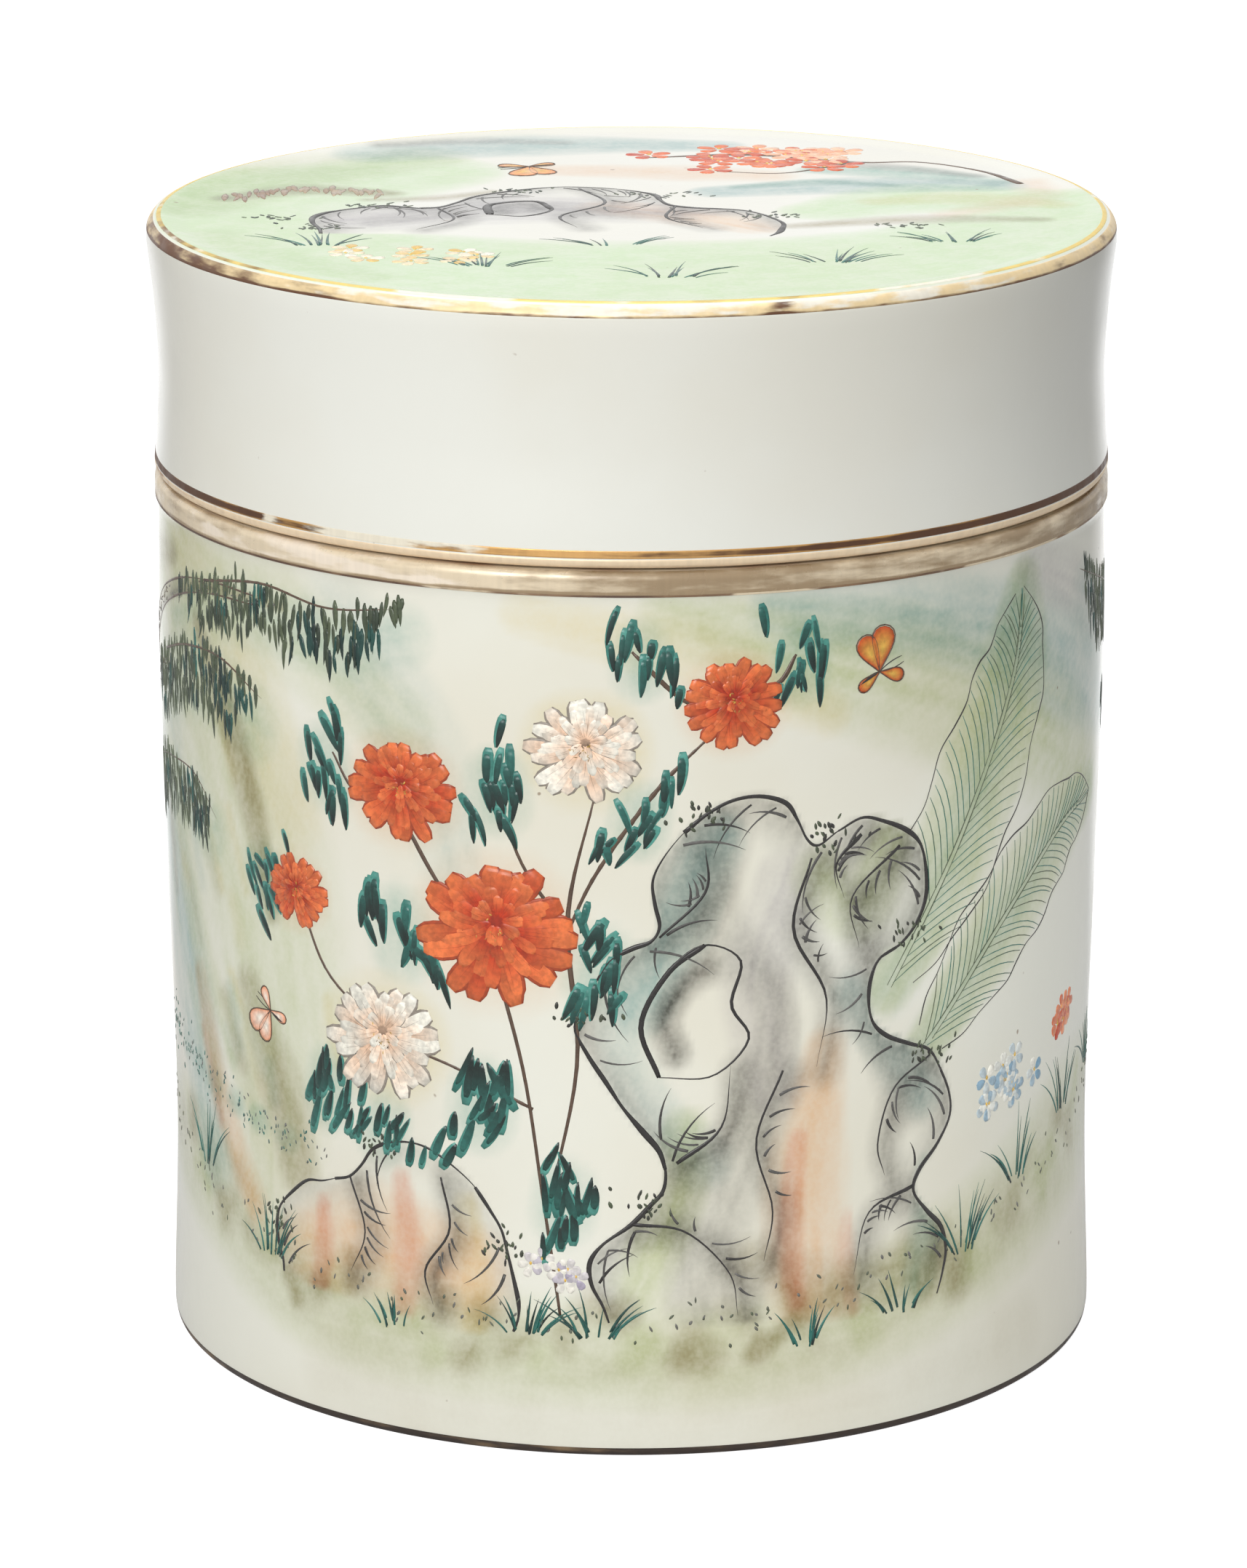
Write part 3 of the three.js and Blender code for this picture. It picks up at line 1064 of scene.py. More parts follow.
@dataclass
class LidForm:
    """The lid: a shallow cap with a waisted wall, a rounded gilt edge and a faintly dished top.

    Its top lies a hair under the frame's, so that the gilding on it stays inside the frame's box.
    """

    seat: float = 101.1
    top: float = 129.95
    bottom: float = 54.3
    rim_wall: float = 4.2
    wall: float = 4.4
    top_thickness: float = 4.8
    waist: float = 53.72
    waist_rise: float = 12.0
    low_hollow: float = 0.08
    flare: float = 54.8
    flare_drop: float = 2.9
    high_hollow: float = 0.2
    inside_corner: float = 5.0
    edge: float = 1.9
    dish: float = 0.35
    dish_radius: float = 50.5
    lip: float = 0.9
    rebate: float = 111.9
    bare_seat: Place = (0.2, 0.1)
    columns: int = 384

    def outer_wall(self, drawn: Profile) -> Profile:
        """Adds the outer wall from the rim over the flare to the rounded top edge.

        Args:
            drawn: a profile that ends at the rim.

        Returns:
            The same profile.
        """
        waist, flare = self.seat + self.waist_rise, self.top - self.flare_drop
        low = ((self.bottom + self.waist) / 2 - self.low_hollow, (self.seat + waist) / 2)
        high = ((self.waist + self.flare) / 2 - self.high_hollow, (waist + flare) / 2)
        drawn.wall([low, (self.waist, waist), high, (self.flare, flare)], 40)
        drawn.line(self.flare, self.top - self.edge)
        return drawn.corner((self.flare, self.top), (self.flare - self.edge, self.top), 10)

    def outside(self) -> Array:
        """Draws the outside alone, from the seat over the rim and the edge."""
        rim = (self.bottom, self.seat), (self.bottom, self.seat + self.lip)
        return self.outer_wall(Profile(self.bottom - self.lip, self.seat).corner(*rim, 8)).array()

    def canvas(self) -> "TopCanvas":
        """Returns the flat of the top as a surface to paint on."""
        return TopCanvas(self.top - self.dish)

    def profile(self) -> Array:
        """Draws the whole closed half profile.

        Returns:
            Its (radius, height) rows.
        """
        inner, ceiling = self.waist - self.wall, self.top - self.top_thickness
        seat_inner, bevel = self.bottom - self.rim_wall, self.lip / 2
        drawn = Profile(0, ceiling).line(inner - self.inside_corner, ceiling, 6)
        drawn.corner((inner, ceiling), (inner, ceiling - self.inside_corner), 6)
        drawn.line(inner, self.rebate + self.lip, 2).line(seat_inner, self.rebate)
        drawn.line(seat_inner, self.seat + bevel, 2).line(seat_inner + bevel, self.seat)
        drawn.line(self.bottom - self.lip, self.seat, 2)
        drawn.corner((self.bottom, self.seat), (self.bottom, self.seat + self.lip))
        self.outer_wall(drawn)
        drawn.line(self.dish_radius, self.top - self.dish, 3)
        drawn.line(0, self.top - self.dish, 90)
        return drawn.array()

    def build(self, finish: GlazeFinish, washes: Washes) -> None:
        """Builds the glazed lid, which stands for the frame's lid.

        Args:
            finish: the glaze.
            washes: the washes on its top.
        """
        points, faces = turned(self.profile(), np.arange(self.columns) / self.columns * FULL_TURN)
        piece = put_in_scene("porcelain_lid", points, faces, finish.material())
        radius, height = np.hypot(points[:, 0], points[:, 1]), points[:, 2]
        washes.store(piece, points[:, 0], points[:, 1], height > self.top - 2 * self.dish)
        inset, rise = self.bare_seat
        bare = (height < self.seat + rise) & (radius > self.bottom - self.rim_wall + inset)
        store_values(piece, "bare", bare)
        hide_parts("lid")
        hand_over(piece, Body.LID)

    def gilding(self) -> list[GiltLine]:
        """Lays out the lip and the worn line above it, and the top edge with the thread inside it.

        Returns:
            The lines.
        """
        outside = self.outside()
        length = float(np.sum(np.hypot(*np.diff(outside, axis=0).T)))
        cream = GiltFinish(
            "gilt_cream", linear(236, 213, 180), linear(160, 124, 96), linear(240, 226, 202),
            metal=0.25, scale=200.0,
        )
        gold = GiltFinish("gilt_line", linear(192, 150, 94), linear(84, 53, 30), linear(232, 224, 204))
        pale = GiltFinish(
            "gilt_pale", linear(230, 206, 160), linear(98, 64, 40), linear(238, 232, 216),
            metal=0.2, scale=170.0,
        )
        thread = GiltFinish(
            "gilt_thread", linear(226, 200, 118), linear(120, 84, 44), linear(238, 234, 218),
            metal=0.3, scale=160.0,
        )
        return [
            # Painted shade: the lip's browner ends at both sides, as seen from the front.
            GiltLine(
                "gilt_lid_lip", Body.LID, cream, outside, 0.15, 1.62,
                brown=Swells(0.22, ((-85, 25, 0.3), (90, 20, 0.2))),
            ),
            # Partly painted light: browner toward both sides as seen from the front is painted shade, and the
            # brighter gold just left of the front is a painted highlight; the worn patches are wear.
            GiltLine(
                "gilt_lid_rim", Body.LID, gold, outside, 1.62, 2.56,
                worn=Swells(0.16, ((-30, 13, 0.62), (-47, 1.6, 0.3), (-150, 40, 0.3))),
                brown=Swells(0.5, ((-80, 34, 0.8), (70, 40, 0.8), (-8, 8, -0.34), (22, 16, 0.14))),
                halo=0.42,
            ),
            GiltLine(
                "gilt_lid_edge", Body.LID, pale, outside, length - 2.7, length - 1.1,
                worn=Swells(0.54, ((-66, 30, -0.36), (17, 3.4, -0.2), (75, 30, -0.24))),
                brown=Swells(0.2, ((-71, 21, 0.54), (17, 2.2, 0.42), (-42, 8, 0.2), (68, 24, 0.16))),
                rim=0.4,
            ),
            GiltLine(
                "gilt_lid_thread", Body.LID, thread, outside, length - 0.8, length - 0.2,
                worn=Swells(0.34, ((-22, 7, 0.3), (40, 14, 0.26), (-60, 20, 0.1))),
                brown=Swells(0.2, ((-70, 26, 0.4), (14, 8, 0.25))),
            ),
        ]


@dataclass
class WallCanvas:
    """The jar's outer wall, opened out: along is measured round the wall from the front."""

    outline: Array
    radius: float

    def place(self, along: Array, up: Array, lift: Array) -> Array:
        """Puts paint on the wall: the point (r sin a, -r cos a, up), where r is its radius plus lift."""
        radius, angle = np.interp(up, *self.outline.T[::-1]) + lift, along / self.radius
        return np.stack([radius * np.sin(angle), -radius * np.cos(angle), up + 0 * lift], axis=-1)


@dataclass
class TopCanvas:
    """The flat of the lid's top."""

    height: float

    def place(self, across: Array, up: Array, lift: Array) -> Array:
        """Puts paint on the top: the point (across, up, height + lift)."""
        return np.stack(np.broadcast_arrays(across, up, self.height + lift), axis=-1)


@dataclass
class Paintwork:
    """Enamel laid on a canvas in strokes and patches, each a closed low shape, gathered into one mesh.

    A patch's rings lie at shares of its outline, each at a share of its height.
    """

    canvas: WallCanvas | TopCanvas
    points: list[Array] = field(default_factory=list)
    faces: list[list[int]] = field(default_factory=list)
    tints: list[Array] = field(default_factory=list)
    count: int = 0
    ring_shares: Trio = (1.0, 0.86, 0.45)
    ring_lifts: Trio = (-0.5, 0.75, 1.0)

    def take(self, points: Array, faces: list[Array], tints: Array) -> None:
        """Adds points with their colours, and faces numbered from their first point.

        Args:
            points, tints: the points and their linear colours, along the last axis.
            faces: arrays of faces, with their point numbers along the last axis.
        """
        self.points.append(points.reshape(-1, 3))
        self.tints.append(np.broadcast_to(tints, points.shape).reshape(-1, 3))
        for some in faces:
            self.faces += (some.reshape(-1, some.shape[-1]) + self.count).tolist()
        self.count += len(self.points[-1])

    def strokes(
        self, paths: Array, widths: Array, tints: Array | Rgb, height: Values = LINE_HEIGHT,
        section: Section = Section.FINE,
    ) -> None:
        """Lays strokes: a section is carried along each path, square to it.

        Args:
            paths, widths: the places along each stroke, and its width at each of them.
            tints: a linear colour for all, for each stroke, or for each of its steps.
            height: how far each stroke stands out of the glaze.
            section: the strokes' cross-section.
        """
        across, lift = (np.array(row) for row in section.value)
        count, steps, sides = *paths.shape[:2], len(across)
        left, widths = left_of(directions(paths)), np.maximum(widths, THINNEST)
        spread = paths[:, :, None] + left[:, :, None] * (widths[..., None] / 2 * across)[..., None]
        tall = np.broadcast_to(height, (count,))[:, None]
        thick = np.sqrt(widths / widths.max(axis=1, keepdims=True)) * tall
        points = self.canvas.place(spread[..., 0], spread[..., 1], thick[..., None] * lift)
        index = np.arange(points[..., 0].size).reshape(count, steps, sides)
        tints = np.expand_dims(tints, ((), (1, 2), (2,))[np.ndim(tints) - 1])
        self.take(points, [tube_quads(index), index[:, 0, ::-1], index[:, -1]], tints)

    def touch(
        self, touch: Touch, paths: Array, width: Values, tints: Array | Rgb,
        height: Values = LINE_HEIGHT, section: Section = Section.FINE,
    ) -> None:
        """Lays strokes of a full width with one touch of the brush, and otherwise as strokes does."""
        full = np.broadcast_to(width, (len(paths),))[:, None]
        self.strokes(paths, full * touch.press(paths.shape[1]), tints, height, section)

    def patch(self, centre: Array, outline: Array, middle: Rgb, rim: Rgb, height: float) -> None:
        """Lays a patch: rings shrink from its outline to its centre and rise like a drop of enamel.

        Args:
            centre, outline: its middle, and its outline anticlockwise as seen from outside.
            middle, rim: the linear colours of its middle and of its rim.
            height: how far it stands out of the glaze.
        """
        share, lift = np.array(self.ring_shares), np.array(self.ring_lifts)
        rings = centre + (outline - centre) * share[:, None, None]
        flat = np.vstack([rings.reshape(-1, 2), centre, centre])
        high = height * np.concatenate([np.repeat(lift, len(outline)), [lift[-1], lift[0]]])
        index = np.arange(len(flat))
        ring = index[:-2].reshape(len(share), -1)
        after = np.roll(ring, -1, axis=1)
        over = np.stack([ring[-1], after[-1], np.full(len(outline), index[-2])], axis=-1)
        under = np.stack([after[0], ring[0], np.full(len(outline), index[-1])], axis=-1)
        mixes = np.concatenate([np.repeat(share, len(outline)), [0.0, 1.0]])
        points = self.canvas.place(flat[:, 0], flat[:, 1], high)
        self.take(points, [tube_quads(ring), over, under], between(middle, rim, mixes))

    def build(self, name: str, body: Body) -> None:
        """Makes the gathered paint one piece, with its colours stored on its points.

        Args:
            name, body: the piece's name and the body that carries it.
        """
        finish = EnamelFinish(name + "_enamel").material()
        piece, tints = put_in_scene(name, np.vstack(self.points), self.faces, finish), np.vstack(self.tints)
        layer = piece.data.attributes.new("tint", "FLOAT_COLOR", "POINT")
        whole = np.hstack([tints, np.ones((len(tints), 1))]).astype(np.float32)
        layer.data.foreach_set("color", whole.ravel())
        hand_over(piece, body)


@dataclass(frozen=True)
class Rock:
    """The drawing of a garden rock, in places on the canvas.

    The outline runs from the foot on the left over the top to the right. A fold is a line inside it, and
    a hole is an outline that runs round from its upper left to the right. The colours are washes, as
    (pigment, places, half widths, strength).
    """

    outline: tuple
    colours: tuple
    folds: tuple = ()
    holes: tuple = ()
    width: float = 1.0
    hatches: int = 8
    shade: float = 0.8
    waver: float = 1.3
    waver_length: float = 6.0

    def ring(self) -> Array:
        """Draws the outline, eight points to each place. It wavers a little as a brush does.

        Returns:
            The points.
        """
        ring = curve_through(self.outline, 8 * len(self.outline))
        at = np.arange(len(ring)) / self.waver_length
        return ring + self.waver * (np.stack([grain(at, at * 0, seed) for seed in (3, 4)], axis=-1) - 0.5)


@dataclass
class Painter:
    """One painted surface: its washes, and its ink, leaves and blossoms as separate layers of enamel."""

    canvas: WallCanvas | TopCanvas
    seed: int
    washes: Washes = field(default_factory=Washes)

    def __post_init__(self) -> None:
        """Prepares the layers and the painter's hand."""
        self.hand = np.random.default_rng(self.seed)
        self.ink, self.leaves, self.blossoms = (Paintwork(self.canvas) for _ in range(3))

    def line(
        self, places: Places, width: float, colour: Rgb = INK, uneven: float = 0.35,
        touch: Touch = Touch.LINE, height: float = LINE_HEIGHT,
    ) -> None:
        """Draws one ink line through places, pressed unevenly.

        Args:
            places: the places.
            width, uneven: its full width, and how much that changes on the way.
            colour: its linear colour.
            touch: how it starts and ends.
            height: how far it stands out of the glaze.
        """
        steps = 5 * len(places)
        phase = np.linspace(0, steps * 0.3, steps) + self.hand.random() * 6
        press = 1 - uneven / 2 + uneven / 2 * np.sin(phase + np.sin(phase * 0.6))
        widths = (width * touch.press(steps) * press)[None]
        self.ink.strokes(curve_through(places, steps)[None], widths, colour, height)

    def around(self, place: Place, reach: Place, count: int) -> Array:
        """Scatters places in a bell-shaped cloud of a given reach."""
        return np.array(place, float) + self.hand.normal(0, 0.5, (count, 2)) * np.array(reach, float)

    def dots(self, place: Place, reach: Place, count: int, size: float, first: Rgb, second: Rgb) -> None:
        """Scatters short pressed dots.

        Args:
            place, reach: the middle of the cluster, and how far it spreads each way.
            count, size: how many dots there are, and their width.
            first, second: the colours between which they vary.
        """
        lengths, headings = size * self.hand.uniform(0.8, 1.5, count), self.hand.uniform(40, 140, count)
        paths = bent_paths(self.around(place, reach, count), headings, lengths, 0, 4)
        tints = between(first, second, self.hand.random(count))
        self.leaves.touch(Touch.DOT, paths, size * self.hand.uniform(0.6, 1.1, count), tints, PAINT_HEIGHT)

    def foliage(self, places: Places, count: int, heading: float, size: float = 1.0) -> None:
        """Paints a clump of fat leaf strokes that hang together along a line and lean one way.

        Each is a pale stroke, with a darker one on it that leaves the pale one as a rim.

        Args:
            places: the places that the clump's middle runs through.
            count, size: how many strokes it has, and their size beside full ones.
            heading: the way they point, in degrees.
        """
        starts = curve_through(places, count) + self.hand.normal(0, 1.2 * size, (count, 2))
        headings = heading + self.hand.normal(0, 13, count)
        lengths, bends = size * self.hand.uniform(2.8, 5.4, count), self.hand.normal(0, 12, count)
        paths = bent_paths(starts, headings, lengths, bends, 8)
        width = size * self.hand.uniform(0.95, 1.5, count)
        lifts = 0.03 + 0.02 * self.hand.random(count)
        pale = between(LEAF_TEAL, LEAF_AQUA, self.hand.random(count) * 0.7)
        self.leaves.touch(Touch.FINGER, paths, width, pale, lifts, Section.BROAD)
        aside = self.hand.normal(0, 0.1 * size, (count, 1, 2))
        depths = self.hand.random((count, 1)) ** 2 * 0.6 + np.linspace(-0.3, 0.36, 7)
        dark = between(LEAF_DARK, LEAF_TEAL, depths)
        self.leaves.touch(Touch.FINGER, paths[:, :-1] + aside, width * 0.8, dark, lifts + 0.02, Section.BROAD)
        middle = starts.mean(axis=0) + 2.0 * size * headed(heading)
        self.washes.dab(Hue.TEAL, middle, (5.5 * size, 4.2 * size), 0.5, heading)

    def fringe(
        self, places: Places, rows: int, length: float = 3.8,
        shades: tuple[Rgb, Rgb, Rgb] = (LEAF_OLIVE, LEAF_DARK, LEAF_TEAL),
    ) -> None:
        """Paints needles hanging straight down along a line, row below row, in patches of three shades.

        Args:
            places: the places that the top row runs through.
            rows: how many rows there are.
            length: the longest needle's length.
            shades: the three colours.
        """
        count = int(np.abs(np.diff(np.array(places, float), axis=0)).sum() / NEEDLE_GAP)
        for row in range(rows):
            start = int(count * 0.1 * row * self.hand.random())
            starts = curve_through(places, count)[start : count - start] - np.array([0, 0.5 * length * row])
            total = len(starts)
            lengths, bends = length * self.hand.uniform(0.55, 1.0, total), self.hand.normal(0, 8, total)
            starts += self.hand.normal(0, 1, starts.shape) * np.array([0.35, 0.16 * length])
            paths = bent_paths(starts, -90 + self.hand.normal(0, 5, total), lengths, bends, 6)
            patch = grain(np.arange(total) / 7, np.full(total, 1.7 * row), self.seed) * 2.6 - 0.8
            low, high = between(*shades[:2], patch), between(*shades[1:], patch - 0.8)
            tints = np.where(patch[:, None] < 0.8, low, high)
            lifts = 0.05 + 0.02 * self.hand.random(total)
            self.leaves.touch(Touch.NEEDLE, paths, length * self.hand.uniform(0.18, 0.3, total), tints, lifts)
        below = [(x, y - 0.25 * length * (rows + 1)) for x, y in places]
        pigment = Hue.EARTH if rows == 1 else Hue.TEAL
        self.washes.sweep(pigment, below, 0.3 * length * rows + 1.2, 0.5, 1.6, 0.7)

    def chrysanthemum(
        self, place: Place, radius: float, inner: Rgb, outer: Rgb, vein: Rgb, halo: Hue = Hue.PEACH
    ) -> None:
        """Paints a blossom: rings of outlined petals from the widest in to the heart.

        Args:
            place, radius: its middle and its radius.
            inner, outer: the colours at the petals' roots and tips.
            vein: the colour of the petals' veins and of the heart.
            halo: the wash round it.
        """
        middle, squash = np.array(place, float), 0.88
        self.washes.dab(halo, place, (radius * 1.25, radius * 1.15), 0.7)
        disc = middle + 0.5 * radius * circle(20) * (1, squash)
        self.blossoms.patch(middle, disc, vein, inner, PAINT_HEIGHT)
        for number, (share, count) in enumerate(((1.0, 17), (0.8, 15), (0.58, 12), (0.36, 9))):
            turn = np.arange(count) / count * 360 + self.hand.uniform(0, 20) + self.hand.normal(0, 4, count)
            starts = middle + headed(turn) * radius * share * 0.18
            lengths = radius * share * self.hand.uniform(0.74, 0.9, count)
            paths = bent_paths(starts, turn, lengths, self.hand.normal(0, 16, count), 8)
            paths[..., 1] = place[1] + (paths[..., 1] - place[1]) * squash + 0.05 * radius * number
            along = np.linspace(-0.2, 1, 8)[None] + self.hand.normal(0, 0.2, (count, 1))
            lifts = 0.084 + 0.014 * number + 0.01 * self.hand.random(count)
            width = radius * share * FULL_TURN / count * 0.84
            under = between(vein, outer, np.full(count, 0.25))
            self.blossoms.touch(Touch.FINGER, paths, width * 1.16, under, lifts - 0.012, Section.BROAD)
            depth = self.hand.uniform(0.78, 1.08, (count, 1, 1))
            tints = between(inner, outer, along) * depth
            self.blossoms.touch(Touch.FINGER, paths, width, tints, lifts, Section.BROAD)
            self.blossoms.touch(Touch.LINE, paths[:, 1:-1], 0.16, vein, lifts + 0.02)
        count = 14
        starts = self.around(place, (radius * 0.2,) * 2, count)
        hearts = bent_paths(starts, np.arange(count) * 26, 0.45, 0, 4)
        self.blossoms.touch(Touch.DOT, hearts, 0.42, between(YELLOW, vein, self.hand.random(count)), 0.17)

    def grass(self, place: Place, reach: float, count: int, length: float) -> None:
        """Paints a tuft of bending blades.

        Args:
            place, reach: the middle of its foot, and how far that spreads to each side.
            count, length: how many blades there are, and the longest one's length.
        """
        lean = self.hand.uniform(-1, 1, count)
        starts = np.array(place) + np.stack([lean * reach, self.hand.uniform(-0.6, 0.6, count)], axis=-1)
        lengths = length * self.hand.uniform(0.5, 1, count)
        paths = bent_paths(starts, 90 - lean * 28 + self.hand.normal(0, 8, count), lengths, -lean * 45, 8)
        tints = between(*LEAF_SHADES, self.hand.random(count))
        self.leaves.touch(Touch.TAIL, paths, self.hand.uniform(0.35, 0.6, count), tints, PAINT_HEIGHT)

    def bamboo_leaves(self, place: Place, heading: float) -> None:
        """Paints a hanging group of long pointed leaves.

        Args:
            place: the end of their twig.
            heading: the way they hang, in degrees.
        """
        count, size = 5, 13
        headings = heading + np.linspace(-42, 42, count) + self.hand.normal(0, 7, count)
        lengths = size * self.hand.uniform(0.65, 1.0, count)
        starts = self.around(place, (0.5, 0.5), count)
        paths = bent_paths(starts, headings, lengths, self.hand.normal(0, 14, count), 10)
        lifts = 0.05 + 0.02 * self.hand.random(count)
        tints = between(*LEAF_SHADES, self.hand.random(count))
        self.leaves.touch(Touch.LEAF, paths, size * 0.15, tints, lifts, Section.BROAD)

    def plantain(self, places: Places, width: float, before: Array) -> None:
        """Paints a plantain leaf: a washed blade with a rib down its middle and fine ribs to its edge.

        The blade's half width at a share t of its length is width sin(pi t^0.8)^0.6, with small waves.

        Args:
            places: the places that the middle rib runs through, from the stalk.
            width: the blade's half width.
            before: the outline of the rock in front of its stalk.
        """
        steps, ribs, rib_steps = 36, 31, 6
        rib = curve_through(places, steps)
        run, share = directions(rib), np.linspace(0, 1, steps)
        wide = width * np.sin(np.pi * share**0.8) ** 0.6 * (1 + 0.06 * np.sin(share * 31))
        green = [width * 0.5] + [width] * (len(places) - 2) + [width * 0.5]
        self.washes.sweep(Hue.GREEN, places, green, 0.8, 4.0)
        self.washes.sweep(Hue.SEA, places, width * 0.6, 0.5, 1.5)
        for side in (-1, 1):
            edge = rib + left_of(run) * (side * wide)[:, None]
            beside = rib + left_of(run) * side * 0.32
            for drawn, thick, colour in ((edge[1:], 0.34, INK), (beside, 0.3, LEAF_OLIVE)):
                hidden = covered(drawn, before) > 0.5
                for part in np.split(drawn, np.flatnonzero(np.diff(hidden)) + 1):
                    if len(part) > 5 and covered(part[:1], before)[0] < 0.5:
                        self.line(part[::2], thick, colour, 0.4)
            tips = edge[-ribs:] + self.hand.normal(0, 0.2, (ribs, 2))
            shares = np.linspace(0.05, 0.94, rib_steps)[None, :, None]
            bows = (run * wide[:, None])[-ribs:, None] * 0.16 * np.sin(np.pi * shares)
            paths = rib[:ribs, None] * (1 - shares) + tips[:, None] * shares + bows
            hidden = covered(paths.reshape(-1, 2), before).reshape(ribs, rib_steps).max(axis=1)
            paths = paths[hidden < 0.5]
            tints = between(LEAF_TEAL, LEAF_OLIVE, self.hand.random(len(paths)))
            self.leaves.touch(Touch.LINE, paths, 0.2, tints, FINE_HEIGHT)

    def rock(self, rock: Rock) -> None:
        """Paints a rock: colours, a contour in pressed strokes, ink shade inside it, folds and holes.

        Args:
            rock: its drawing.
        """
        ring = rock.ring()
        self.washes.laid.append(Reserve(ring))
        for pigment, places, widths, strength in rock.colours:
            self.washes.sweep(pigment, places, widths, strength, 2.0, 0.6, ring)
        shade = ring[::8]
        self.washes.sweep(Hue.INK, shade, 4.4, rock.shade, 0.7, 0.5, ring)
        cuts = np.arange(0, len(ring) - 8, 24)
        for start, end in zip(cuts, [*cuts[1:], len(ring)], strict=True):
            touch = Touch.TAIL if self.hand.random() < 0.5 else Touch.LINE
            thick = rock.width * self.hand.uniform(0.8, 1.15)
            self.line(ring[start : end + 4 : 3], thick, INK, 0.45, touch)
        for fold in rock.folds:
            self.line(fold, rock.width * 0.8, INK, 0.5, Touch.TAIL)
            beside = [(x + 1.0, y - 0.6) for x, y in fold]
            self.washes.sweep(Hue.INK, beside, 3.0, 0.85, 0.8, 0.5, ring)
            crease = curve_through(fold, 30)
            self.hatch(crease, left_of(np.gradient(crease, axis=0)), 2, 0.55, ring)
        for hole in rock.holes:
            middle, upper = np.mean(hole, axis=0), np.array(hole[:4], float)
            self.line([*hole, hole[0]], rock.width * 0.6, INK, 0.5)
            self.line(upper, rock.width * 1.3, INK, 0.3)
            inside = middle + (upper - middle) * 0.62
            self.washes.sweep(Hue.INK, inside, 2.4, 0.95, 1.3, 0.4, np.array(hole, float))
        self.hatch(ring, -left_of(directions(ring)), rock.hatches, 1.0, ring)

    def hatch(self, line: Array, inward: Array, groups: int, size: float, within: Array) -> None:
        """Draws groups of strokes that leave a line at a slant and fade into the form.

        Args:
            line, inward: the line's points and the directions to its shaded side.
            groups, size: how many groups there are, and the strokes' size beside full ones.
            within: the outline that a stroke has to stay inside, or else it's left out.
        """
        slant, gap = 62, 0.9
        for start in np.linspace(4, len(line) - 18, groups).astype(int) + self.hand.integers(-3, 3, groups):
            count = int(self.hand.integers(2, 5))
            at = start + 3 * np.arange(count)
            lean = float(self.hand.choice([-slant, slant]))
            headings = np.degrees(np.arctan2(inward[at, 1], inward[at, 0])) + lean
            headings += self.hand.normal(0, 5, count)
            lengths = size * self.hand.uniform(4.5, 8.5) * (1 - np.arange(count) / (count + 2))
            paths = bent_paths(line[at] + inward[at] * gap, headings, lengths, -lean * 0.7, 8)
            held = covered(paths.reshape(-1, 2), within).reshape(count, -1).min(axis=1) > 0.5
            tints = between(INK, INK_GREY, self.hand.random(count) * 0.7)
            widths = self.hand.uniform(0.35, 0.6, count)
            if held.any():
                self.ink.touch(Touch.TAIL, paths[held], widths[held], tints[held], FINE_HEIGHT)

    def butterfly(self, place: Place, size: float, heading: float, inner: Rgb, outer: Rgb) -> None:
        """Paints a small butterfly: four wings, a body and two feelers.

        A wing is a drop: (0.5 + 0.5 cos t, w sin t (0.55 + 0.45 cos t)), turned and scaled.

        Args:
            place, size: the middle of its body, and the fore wing's length.
            heading: the way it flies, in degrees.
            inner, outer: the colours at the wings' roots and rims.
        """
        x, y = circle(20).T
        for angle, long, wide in ((62, 1.0, 0.42), (-34, 0.62, 0.36), (98, 0.9, 0.4), (196, 0.6, 0.34)):
            ahead = headed(heading + angle)
            spin = np.stack([ahead, left_of(ahead)]) * size * long
            outline = place + np.stack([0.5 + 0.5 * x, wide * y * (0.55 + 0.45 * x)], axis=-1) @ spin
            self.blossoms.patch(place + 0.5 * spin[0], outline, inner, outer, PAINT_HEIGHT)
            closed = np.vstack([outline, outline[:1]])[None]
            self.ink.strokes(closed, np.full(closed.shape[:2], 0.24), INK_BROWN, 0.085)
        body = bent_paths([place], heading + 180, size * 0.55, 10, 6)
        self.ink.touch(Touch.LEAF, body, 0.8, INK, 0.12)
        feelers = bent_paths([place, place], [heading + 24, heading - 24], size * 0.62, [-30, 30], 7)
        self.ink.touch(Touch.LINE, feelers, 0.2, INK, PAINT_HEIGHT)

    def asters(self, place: Place, reach: Place, count: int, radius: float, shades: tuple[Rgb, Rgb]) -> None:
        """Scatters small flat flowers with five petals each and a yellow heart.

        Args:
            place, reach: the middle of the group, and how far it spreads each way.
            count, radius: how many flowers there are, and their radius.
            shades: the colours between which the petals vary.
        """
        middles = np.repeat(self.around(place, reach, count), 5, axis=0)
        turn = np.tile(np.arange(5) * 72, count) + np.repeat(self.hand.uniform(0, 72, count), 5)
        tints = between(*shades, self.hand.random(len(turn)))
        paths = bent_paths(middles + 0.2 * radius * headed(turn), turn, radius * 0.85, 0, 6)
        self.blossoms.touch(Touch.FINGER, paths, radius * 0.75, tints, PAINT_HEIGHT, Section.BROAD)
        hearts = bent_paths(middles[::5], 90, 0.3 * radius, 0, 4)
        self.blossoms.touch(Touch.DOT, hearts, 0.35 * radius, YELLOW, 0.09)

    def build(self, name: str, body: Body) -> None:
        """Makes each layer a piece.

        Args:
            name, body: how the pieces' names start, and the body that carries them.
        """
        self.ink.build(name + "_ink_drawing", body)
        self.leaves.build(name + "_leaves", body)
        self.blossoms.build(name + "_blossoms", body)


